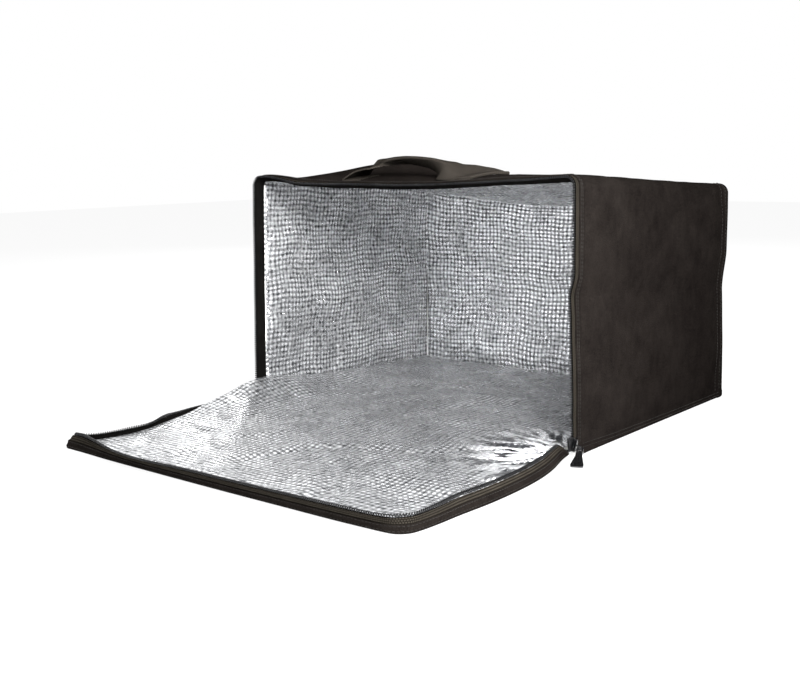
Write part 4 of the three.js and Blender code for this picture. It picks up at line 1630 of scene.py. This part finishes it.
@dataclass(frozen=True)
class FlapLip:
    """Standing lip round the flap: turned-up skin, black band, zip tape and coil."""

    form: BagForm
    path: LipPath
    finishes: Finishes

    def make(self) -> None:
        """Builds the four strips."""
        s = np.linspace(0, self.path.length, 620)[None, :]
        hem = [(4.0, 0.0), (1.6, 0.0), (0.2, 0.35), (-0.6, 1.3), (-0.9, 3.0), (-0.9, 9.0)]
        self._strip("lip_hem", s, hem, 0.9)
        self._strip("lip_band", s, [(1.1, 1.4), (1.0, 5.0), (1.0, 11.0), (1.0, 15.2)], 1.2)
        self._strip("lip_tape", s, [(0.05, 4.6), (0.05, 8.0), (0.05, 12.0), (0.05, 15.1)], 0.8)
        self._coil()

    def _strip(self, name: str, s: Array, profile: list[tuple[float, float]], thickness: float) -> None:
        """A strip whose outer line is a profile of offset and height.

        Args:
            name: Its name.
            s: Distances along the lip.
            profile: Offset and height of each row.
            thickness: Its thickness.
        """
        offset = np.array([p[0] for p in profile])[:, None]
        height = np.array([p[1] for p in profile])[:, None]
        low = np.where(height < 0.5, thickness, 0.0)
        outer = self.path.point(s, height, offset)
        inner = self.path.point(s, height + low, offset + np.where(low > 0, 0.0, thickness))
        maker = MeshMaker(name)
        step = np.hypot(np.diff(offset, axis=0), np.diff(height, axis=0))
        across = np.concatenate([[[0.0]], np.cumsum(step, axis=0)])
        maker.add_shell(inner, outer, uv=np.stack(np.broadcast_arrays(s, across), axis=-1) * MM)
        kind = {"lip_hem": "outer", "lip_band": "band", "lip_tape": "tape"}[name]
        made = maker.build(getattr(self.finishes, kind))
        if signed_volume(made) < 0:
            made.data.flip_normals()
        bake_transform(made)
        nodes = {"lip_band": ("lip_left", "lip_right", "lip_front"), "lip_tape": ("zip_tape_flap",)}
        if name in nodes:
            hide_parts(*nodes[name])

    def _coil(self) -> None:
        """Coil along the lip's top."""
        along = np.linspace(0, self.path.length, 1100)
        line = self.path.point(along, np.array(17.6), np.array(1.6))
        across = self.path.point(along, np.array(18.6), np.array(1.6)) - line
        up = self.path.point(along, np.array(17.6), np.array(0.6)) - line
        maker = MeshMaker("lip_coil")
        coil_wire(maker, line, up, across)
        made = maker.build(self.finishes.coil)
        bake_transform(made)
        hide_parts("zip_coil_flap")


@dataclass(frozen=True)
class HandleShape:
    """Course of one handle, each line as place along x and value.

    heights is the webbing's middle line over the pivot. The far half slopes up from it by the tilts, in
    degrees. The near half turns down and under by the turns, from 0, level, to 180, folded under the far
    half, and drops is the share of that fall which shows. shifts moves the middle line to the near side.
    """

    name: str
    y: float
    pivot: float
    lean: float
    skew: float
    heights: tuple
    tilts: tuple
    turns: tuple
    drops: tuple
    shifts: tuple


@dataclass(frozen=True)
class Handle:
    """Webbing handle: two sewn tabs, the legs, and the grip that is folded in half."""

    form: BagForm
    finishes: Finishes
    shape: HandleShape
    half_span: float = 106.0
    tab: float = 27.0
    width: float = 40.0
    thickness: float = 1.8
    fold_turn: float = 1.9
    flank_end: float = 2.6

    def _section(self, x: Array) -> tuple[Array, Array, Array, Array]:
        """Cross-sections of the webbing: its heading turns from the far half's slope to the near half's.

        Args:
            x: Stations.

        Returns:
            Across and upward place of each point, and the two parts of its normal.
        """
        half, turn = self.width / 2, self.fold_turn
        flank = np.linspace(half, self.flank_end, 9)
        v = np.concatenate([flank, np.linspace(turn, -turn, 7), -flank[::-1]])
        far = np.radians(curve(x, self.shape.tilts))[:, None]
        near = np.radians(curve(x, self.shape.turns))[:, None]
        heading = far + (near - far) * ease((turn - v) / (2 * turn))
        middle = (heading[:, 1:] + heading[:, :-1]) / 2
        step = -np.diff(v)
        share = np.where(v[1:] > -turn, 1.0, curve(x, self.shape.drops)[:, None])
        start = np.zeros((len(x), 1))
        a = np.concatenate([start, np.cumsum(-np.cos(middle) * step, axis=1)], axis=1)
        b = np.concatenate([start, np.cumsum(-np.sin(middle) * step * share, axis=1)], axis=1)
        crease = len(v) // 2
        a, b = a - a[:, crease : crease + 1], b - b[:, crease : crease + 1]
        slope_a, slope_b = np.gradient(a, axis=1), np.gradient(b, axis=1)
        size = np.hypot(slope_a, slope_b)
        return a - curve(x, self.shape.shifts)[:, None], b, slope_b / size, -slope_a / size

    def make(self, body: str, nodes: list[str]) -> bpy.types.Object:
        """Builds the handle as one strip of webbing.

        Args:
            body: Body of the grip; not used.
            nodes: Nodes that it stands for.

        Returns:
            The piece.
        """
        shape = self.shape
        x = np.linspace(-self.half_span, self.half_span, 170)
        a, b, na, nb = self._section(x)
        height = curve(x, shape.heights)
        centre = np.stack([x, 0 * x, height], axis=-1)
        along = unit(np.gradient(centre, axis=0))
        flat = np.tile([0.0, 1.0, 0.0], (len(x), 1))
        rise = np.cross(along, flat)
        middle = centre[:, None] + flat[:, None] * a[..., None] + rise[:, None] * b[..., None]
        middle[..., 0] += shape.skew * ease((x[:, None] - 40) / 66) * (a / 20 - 0.3)
        face = flat[:, None] * na[..., None] + rise[:, None] * nb[..., None]
        faces = [self._placed(middle + face * k * self.thickness / 2, k) for k in (1.0, -1.0)]
        faces = [self._with_tabs(grid, k) for grid, k in zip(faces, (1.0, -1.0))]
        length = run_length(faces[0][:, 12])
        uv = np.stack(np.meshgrid(length, np.linspace(-20, 20, a.shape[1]), indexing="ij"), axis=-1) * MM
        maker = MeshMaker(shape.name)
        maker.add_shell(faces[0], faces[1], uv=uv)
        made = maker.build(self.finishes.webbing)
        if signed_volume(made) < 0:
            made.data.flip_normals()
        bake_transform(made)
        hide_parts(*nodes)
        return made

    def _placed(self, grid: Array, side: float) -> Array:
        """Leans the strip, sets it at its depth and keeps it on top of the panel and of its own tabs.

        Args:
            grid: Stations x points x 3, heights measured from the pivot.
            side: 1 for the strip's upper face and -1 for the lower one.

        Returns:
            The moved points.
        """
        form, shape = self.form, self.shape
        angle = math.radians(shape.lean) * ease(grid[..., 2] / 14)
        y = shape.y + grid[..., 1] * np.cos(angle) - grid[..., 2] * np.sin(angle)
        rise = grid[..., 1] * np.sin(angle) + grid[..., 2] * np.cos(angle)
        over = 1.2 + 2.1 * ease((np.abs(grid[..., 0]) - 66) / 10)
        local = self._panel(grid[..., 0], y) + over + side * self.thickness / 2
        return np.stack([grid[..., 0], y, np.maximum(shape.pivot + rise, local)], axis=-1)

    def _panel(self, x: Array, y: Array) -> Array:
        """Height of the top panel."""
        return self.form.edge_height(y) + self.form.roof_rise(x, y)

    def _with_tabs(self, grid: Array, side: float) -> Array:
        """Adds the half-turn and the sewn tab at both ends of one face.

        The tab lies on the panel, and the half-turn joins it to the leg's foot above it.

        Args:
            grid: The face between the feet.
            side: 1 for the upper face and -1 for the lower one.

        Returns:
            The longer face.
        """
        parts = [grid]
        for end, sign in ((0, -1.0), (-1, 1.0)):
            foot = grid[end]
            tab_z = self._panel(foot[:, 0], foot[:, 1]) + 1.1 - side * self.thickness / 2
            radius = (foot[:, 2] - tab_z) / 2
            turn = np.linspace(0, np.pi, 9)[1:, None]
            arc_x = foot[:, 0] + sign * np.maximum(radius, 0.5) * np.sin(turn)
            arc_z = tab_z + radius * (1 + np.cos(turn))
            arc = np.stack([arc_x, foot[:, 1] + 0 * turn, arc_z], axis=-1)
            run = np.linspace(0, self.tab, 8)[1:, None]
            tab_x = foot[:, 0] - sign * run
            tab_y = foot[:, 1] + 0 * run
            low_z = self._panel(tab_x, tab_y) + 1.1 - side * self.thickness / 2
            tab = np.stack([tab_x, tab_y, low_z], axis=-1)
            extra = np.concatenate([arc, tab])
            parts = [extra[::-1], *parts] if end == 0 else [*parts, extra]
        return np.concatenate(parts)


FRONT_HANDLE = HandleShape(
    name="handle_front",
    y=-135.0,
    pivot=299.86,
    lean=0.0,
    skew=14.0,
    heights=(
        (-106, 0), (-99, 3.5), (-88, 8.4), (-78, 11), (-65, 14.5), (-54, 19), (-37, 23.2), (-20, 25),
        (-3, 25.2), (16, 24), (34, 21.2), (43, 17.4), (52, 10.5), (62, 5.8), (74, 2.8), (90, 1.2), (106, 0.4),
    ),
    tilts=(
        (-106, 0), (-95, 3), (-86, 20), (-78, 33), (-66, 30), (-54, 16), (-40, 7), (-25, 2), (-5, -4),
        (18, -8), (30, -8), (40, -2), (51, 16), (66, 32), (80, 32), (95, 25), (106, 14),
    ),
    turns=(
        (-106, 0), (-80, 0), (-70, 8), (-54, 70), (-42, 150), (-30, 163), (-12, 156), (4, 149), (18, 140),
        (39, 105), (51, 60), (68, 22), (79, 5), (90, 0), (106, 0),
    ),
    drops=((-106, 0.3), (-70, 0.3), (-45, 0.3), (-30, 1), (-15, 1), (106, 1)),
    shifts=(
        (-106, 0), (-78, 0), (-70, 1), (-45, 10), (-35, 10), (22, 10), (32, 9), (70, 1), (80, 0), (106, 0),
    ),
)

REAR_HANDLE = HandleShape(
    name="handle_rear",
    y=150.0,
    pivot=269.18,
    lean=25.0,
    skew=0.0,
    heights=(
        (-106, 0), (-95, 7), (-78, 18), (-62, 27), (-46, 30), (-30, 28.6), (-14, 25), (10, 22), (34, 19),
        (60, 15.5), (88, 8), (106, 0),
    ),
    tilts=((-106, 0), (-90, -5), (-62, -22), (-50, -24), (50, -24), (62, -22), (90, -5), (106, 0)),
    turns=(
        (-106, 0), (-90, 0), (-84, 3), (-60, 160), (-54, 172), (-48, 174), (48, 174), (54, 172), (60, 160),
        (84, 3), (90, 0), (106, 0),
    ),
    drops=(
        (-106, 0.3), (-66, 0.3), (-60, 0.35), (-50, 1), (-44, 1), (44, 1), (50, 1), (60, 0.35), (66, 0.3),
        (106, 0.3),
    ),
    shifts=(
        (-106, 0), (-90, 0), (-84, 1), (-58, 10), (-50, 10), (50, 10), (58, 10), (84, 1), (90, 0), (106, 0),
    ),
)


@dataclass(frozen=True)
class ZipFittings:
    """Slider, bail and puller: the frame's own shapes with rounded edges."""

    finishes: Finishes
    pivot: tuple[float, float] = (254.7, -185.6)
    heading: float = -66.5
    shift: float = 7.0

    def make(self) -> None:
        """Builds the three."""
        for name, node, body, width in (
            ("zip_slider", "slider_body", "slider", 0.0006),
            ("zip_bail", "slider_bail", "slider", 0.0005),
            ("zip_puller", "puller", "puller", 0.0005),
        ):
            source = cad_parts[node]
            mesh = source.data.copy()
            mesh.name = name
            if body == "slider":
                self._into_coil(mesh)
            made = bpy.data.objects.new(name, mesh)
            bpy.context.scene.collection.objects.link(made)
            merge(made)
            bevel = made.modifiers.new("edges", "BEVEL")
            bevel.width = width
            bevel.segments = 3
            bevel.limit_method = "ANGLE"
            bevel.angle_limit = math.radians(30)
            mesh.materials.clear()
            mesh.materials.append(self.finishes.metal)
            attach(made, body)
            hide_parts(node)
            LOG.info("%s from %s", name, node)

    def _into_coil(self, mesh: bpy.types.Mesh) -> None:
        """Moves slider and bail sideways into the coil, but not the bail's loop, which holds the puller.

        Args:
            mesh: Mesh to change.
        """
        points = np.zeros(len(mesh.vertices) * 3, np.float32)
        mesh.vertices.foreach_get("co", points)
        points = points.reshape(-1, 3)
        heading = math.radians(self.heading)
        away = -np.array([math.cos(heading), math.sin(heading)])
        back = (points[:, :2] - np.array(self.pivot) * MM) @ away
        points[:, 0] -= self.shift * MM * np.clip((back / MM - 0.6) / 2.6, 0, 1)
        mesh.vertices.foreach_set("co", points.ravel())


def merge(made: bpy.types.Object) -> None:
    """Joins a mesh's loose triangles, melts its flat faces together and shades it smooth."""
    mesh = bmesh.new()
    mesh.from_mesh(made.data)
    bmesh.ops.remove_doubles(mesh, verts=mesh.verts, dist=1e-6)
    bmesh.ops.dissolve_limit(mesh, angle_limit=math.radians(2), verts=mesh.verts, edges=mesh.edges)
    for face in mesh.faces:
        face.smooth = True
    mesh.to_mesh(made.data)
    mesh.free()
    made.data.set_sharp_from_angle(angle=math.radians(40))


@dataclass(frozen=True)
class Seams:
    """All rows of stitches on the body and on the flap's lip."""

    form: BagForm
    path: LipPath
    finishes: Finishes

    def make(self) -> None:
        """Builds the body's stitches and the lip's."""
        maker = MeshMaker("body_stitches")
        rows = Stitching(maker)
        for y, proud in ((-165.2, 1.45), (-161.8, 1.45), (187.6, 0.8), (176.5, 0.1)):
            line = self.form.section(np.array([y]), np.array([-proud]))[0]
            out = line - self.form.section(np.array([y]), np.array([1.0 - proud]))[0]
            keep = line[:, 2] > 5
            rows.row(line[keep], out[keep])
        depth = np.linspace(-160, 192, 90)
        for side in (-1.0, 1.0):
            for z in (4.6, 8.8):
                x = side * (self.form.half + 0.75 + self.form.side_shift(side, depth, z))
                rows.row(np.stack([x, depth, z + 0 * depth], axis=-1), np.tile([side, 0, 0], (90, 1)))
        made = maker.build(self.finishes.thread)
        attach(made, "body")
        self._lip()

    def _lip(self) -> None:
        """Two rows round the lip's outer face."""
        maker = MeshMaker("lip_stitches")
        rows = Stitching(maker)
        s = np.linspace(12, self.path.length - 12, 1000)
        for height, proud in ((7.8, 0.95), (2.9, 0.95)):
            line = self.path.point(s, np.array(height), np.array(-proud))
            out = line - self.path.point(s, np.array(height), np.array(1.0 - proud))
            rows.row(line, out)
        made = maker.build(self.finishes.thread)
        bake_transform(made)


@dataclass(frozen=True)
class Studio:
    """Camera, floor, world and lamps."""

    azimuth: float = 39.08
    elevation: float = 9.79
    roll: float = -0.97
    distance: float = 1.590
    target: tuple[float, float, float] = (-0.145, 0.0, 0.055)
    focal: float = 1116.0
    picture_width: float = 800.0
    sensor: float = 36.0

    def camera(self) -> None:
        """Sets up the camera at the photograph's angle."""
        a, e = math.radians(self.azimuth), math.radians(self.elevation)
        back = Vector((math.sin(a) * math.cos(e), -math.cos(a) * math.cos(e), math.sin(e)))
        right = (-back).cross(Vector((0, 0, 1))).normalized()
        up = right.cross(-back)
        turn = math.radians(self.roll)
        side = right * math.cos(turn) + up * math.sin(turn)
        top = up * math.cos(turn) - right * math.sin(turn)
        data = bpy.data.cameras.new("camera")
        data.sensor_width = self.sensor
        data.lens = self.focal * self.sensor / self.picture_width
        made = bpy.data.objects.new("camera", data)
        place = Vector(self.target) + back * self.distance
        made.matrix_world = Matrix((
            (side.x, top.x, back.x, place.x),
            (side.y, top.y, back.y, place.y),
            (side.z, top.z, back.z, place.z),
            (0, 0, 0, 1),
        ))
        bpy.context.scene.collection.objects.link(made)
        bpy.context.scene.camera = made

    def floor(self) -> None:
        """Pale floor that takes the bag's shadow and looks white."""
        mesh = bpy.data.meshes.new("studio_floor")
        reach = 6.0
        corners = [(-reach, -reach, 0), (reach, -reach, 0), (reach, reach, 0), (-reach, reach, 0)]
        mesh.from_pydata(corners, [], [(0, 1, 2, 3)])
        made = bpy.data.objects.new("studio_floor", mesh)
        bpy.context.scene.collection.objects.link(made)
        material = bpy.data.materials.new("studio floor")
        material.use_nodes = True
        material.node_tree.nodes.clear()
        paint = Paint(material.node_tree)
        matt = paint.node("BsdfDiffuse", {"Color": (0.9, 0.9, 0.9, 1)})
        glow = paint.node("Emission", {"Color": (1, 1, 1, 1), "Strength": 1.0})
        seen = paint.node("LightPath").outputs["Is Camera Ray"]
        share = paint.times(seen, 0.88)
        mixed = paint.node("MixShader", {0: share, 1: matt.outputs[0], 2: glow.outputs[0]})
        paint.node("OutputMaterial", {"Surface": mixed.outputs[0]})
        mesh.materials.append(material)

    def world(self) -> None:
        """White where it is seen or mirrored, and softer where it lights the bag."""
        world = bpy.data.worlds.new("studio")
        world.use_nodes = True
        world.node_tree.nodes.clear()
        paint = Paint(world.node_tree)
        path = paint.node("LightPath")
        seen = paint.math("MAXIMUM", path.outputs["Is Camera Ray"], path.outputs["Is Transmission Ray"])
        share = paint.math("MAXIMUM", seen, path.outputs["Is Glossy Ray"])
        strength = paint.remap(share, 0, 1, 0.62, 1.0)
        back = paint.node("Background", {"Color": (1, 1, 1, 1), "Strength": strength})
        paint.node("OutputWorld", {"Surface": back.outputs[0]})
        bpy.context.scene.world = world

    @staticmethod
    def lamp(name: str, place: tuple, target: tuple, size: float, power: float) -> None:
        """A square soft lamp.

        Args:
            name: Its name.
            place: Where it stands.
            target: What it looks at.
            size: Its side.
            power: Its power in watts.
        """
        data = bpy.data.lights.new(name, "AREA")
        data.shape = "SQUARE"
        data.size = size
        data.energy = power
        made = bpy.data.objects.new(name, data)
        made.location = place
        made.rotation_euler = (Vector(target) - Vector(place)).to_track_quat("-Z", "Y").to_euler()
        bpy.context.scene.collection.objects.link(made)

    def make(self) -> None:
        """Builds the whole studio but the camera."""
        self.floor()
        self.world()
        self.lamp("key", (-0.7, -2.2, 1.7), (0, -0.1, 0.1), 0.9, 34)
        self.lamp("side", (0.76, -0.66, 0.64), (-0.05, -0.12, 0.2), 0.35, 52)
        self.lamp("top", (0.0, -0.5, 2.4), (0, -0.2, 0.0), 0.9, 10)
        self.lamp("rear", (-1.5, 1.9, 1.1), (-0.1, 0.1, 0.12), 0.9, 38)
        bpy.context.scene.view_settings.view_transform = "Standard"


def find_swells(form: BagForm) -> dict[str, Swell]:
    """Runs the cloth simulations of the walls and of the loose film.

    Args:
        form: The bag, which gets the walls' swells.

    Returns:
        The film's loose folds by piece name.
    """
    side = ((-161.0, 8.0), (196.0, 284.0))
    across = ((-238.0, 8.0), (238.0, 280.0))
    roof = ((-236.0, -160.0), (236.0, 196.0))
    for wall, area, pressure, limit, seed in (
        (Wall.RIGHT, side, 0.3, 2.2, 11),
        (Wall.LEFT, side, 0.3, 1.8, 12),
        (Wall.BACK, across, 0.3, 2.0, 13),
        (Wall.TOP, roof, 0.2, 2.2, 14),
    ):
        trial = ClothTrial(f"try_{wall.value}", *area, 9.0, 0.006, pressure, 8.0, limit, seed)
        form.swells[wall] = trial.run()
    loose = {}
    inner = ((-158.0, 8.0), (193.0, 286.0))
    floor = ((-243.0, -166.0), (243.0, 193.0))
    flap = ((-246.0, -486.0), (246.0, -166.0))
    back = ((-243.0, 8.0), (243.0, 283.0))
    for name, area, spacing, growth, pressure, limit, seed in (
        ("film_left", inner, 7.0, 0.012, 0.25, 2.4, 21),
        ("film_right", inner, 7.0, 0.012, 0.25, 2.4, 22),
        ("film_back", back, 7.0, 0.012, 0.25, 2.4, 23),
        ("film_top", floor, 8.0, 0.010, 0.25, 2.4, 24),
        ("film_floor", floor, 7.0, 0.012, 0.2, 2.2, 25),
        ("film_flap", flap, 7.0, 0.014, 0.2, 2.6, 26),
    ):
        trial = ClothTrial(f"try_{name}", *area, spacing, growth, pressure, 1.0, limit, seed)
        loose[name] = trial.run()
    return loose


def main() -> None:
    """Builds the whole scene in order and reports each piece."""
    logging.basicConfig(level=logging.INFO, format="%(message)s")
    studio = Studio()
    studio.camera()
    form = BagForm()
    loose = find_swells(form)
    path = LipPath(form)
    finishes = Finishes()
    skin = OuterSkin(form, finishes)
    Padding(form, finishes).make()
    skin.wrap()
    skin.back()
    skin.flap()
    Lining(form, finishes, loose).make()
    Opening(form, finishes).make()
    FlapLip(form, path, finishes).make()
    Seams(form, path, finishes).make()
    for shape in (FRONT_HANDLE, REAR_HANDLE):
        nodes = [f"{shape.name}_{part}" for part in ("end_left", "end_right", "grip")]
        Handle(form, finishes, shape).make(shape.name, nodes)
    ZipFittings(finishes).make()
    studio.make()


if __name__ == "__main__":
    main()
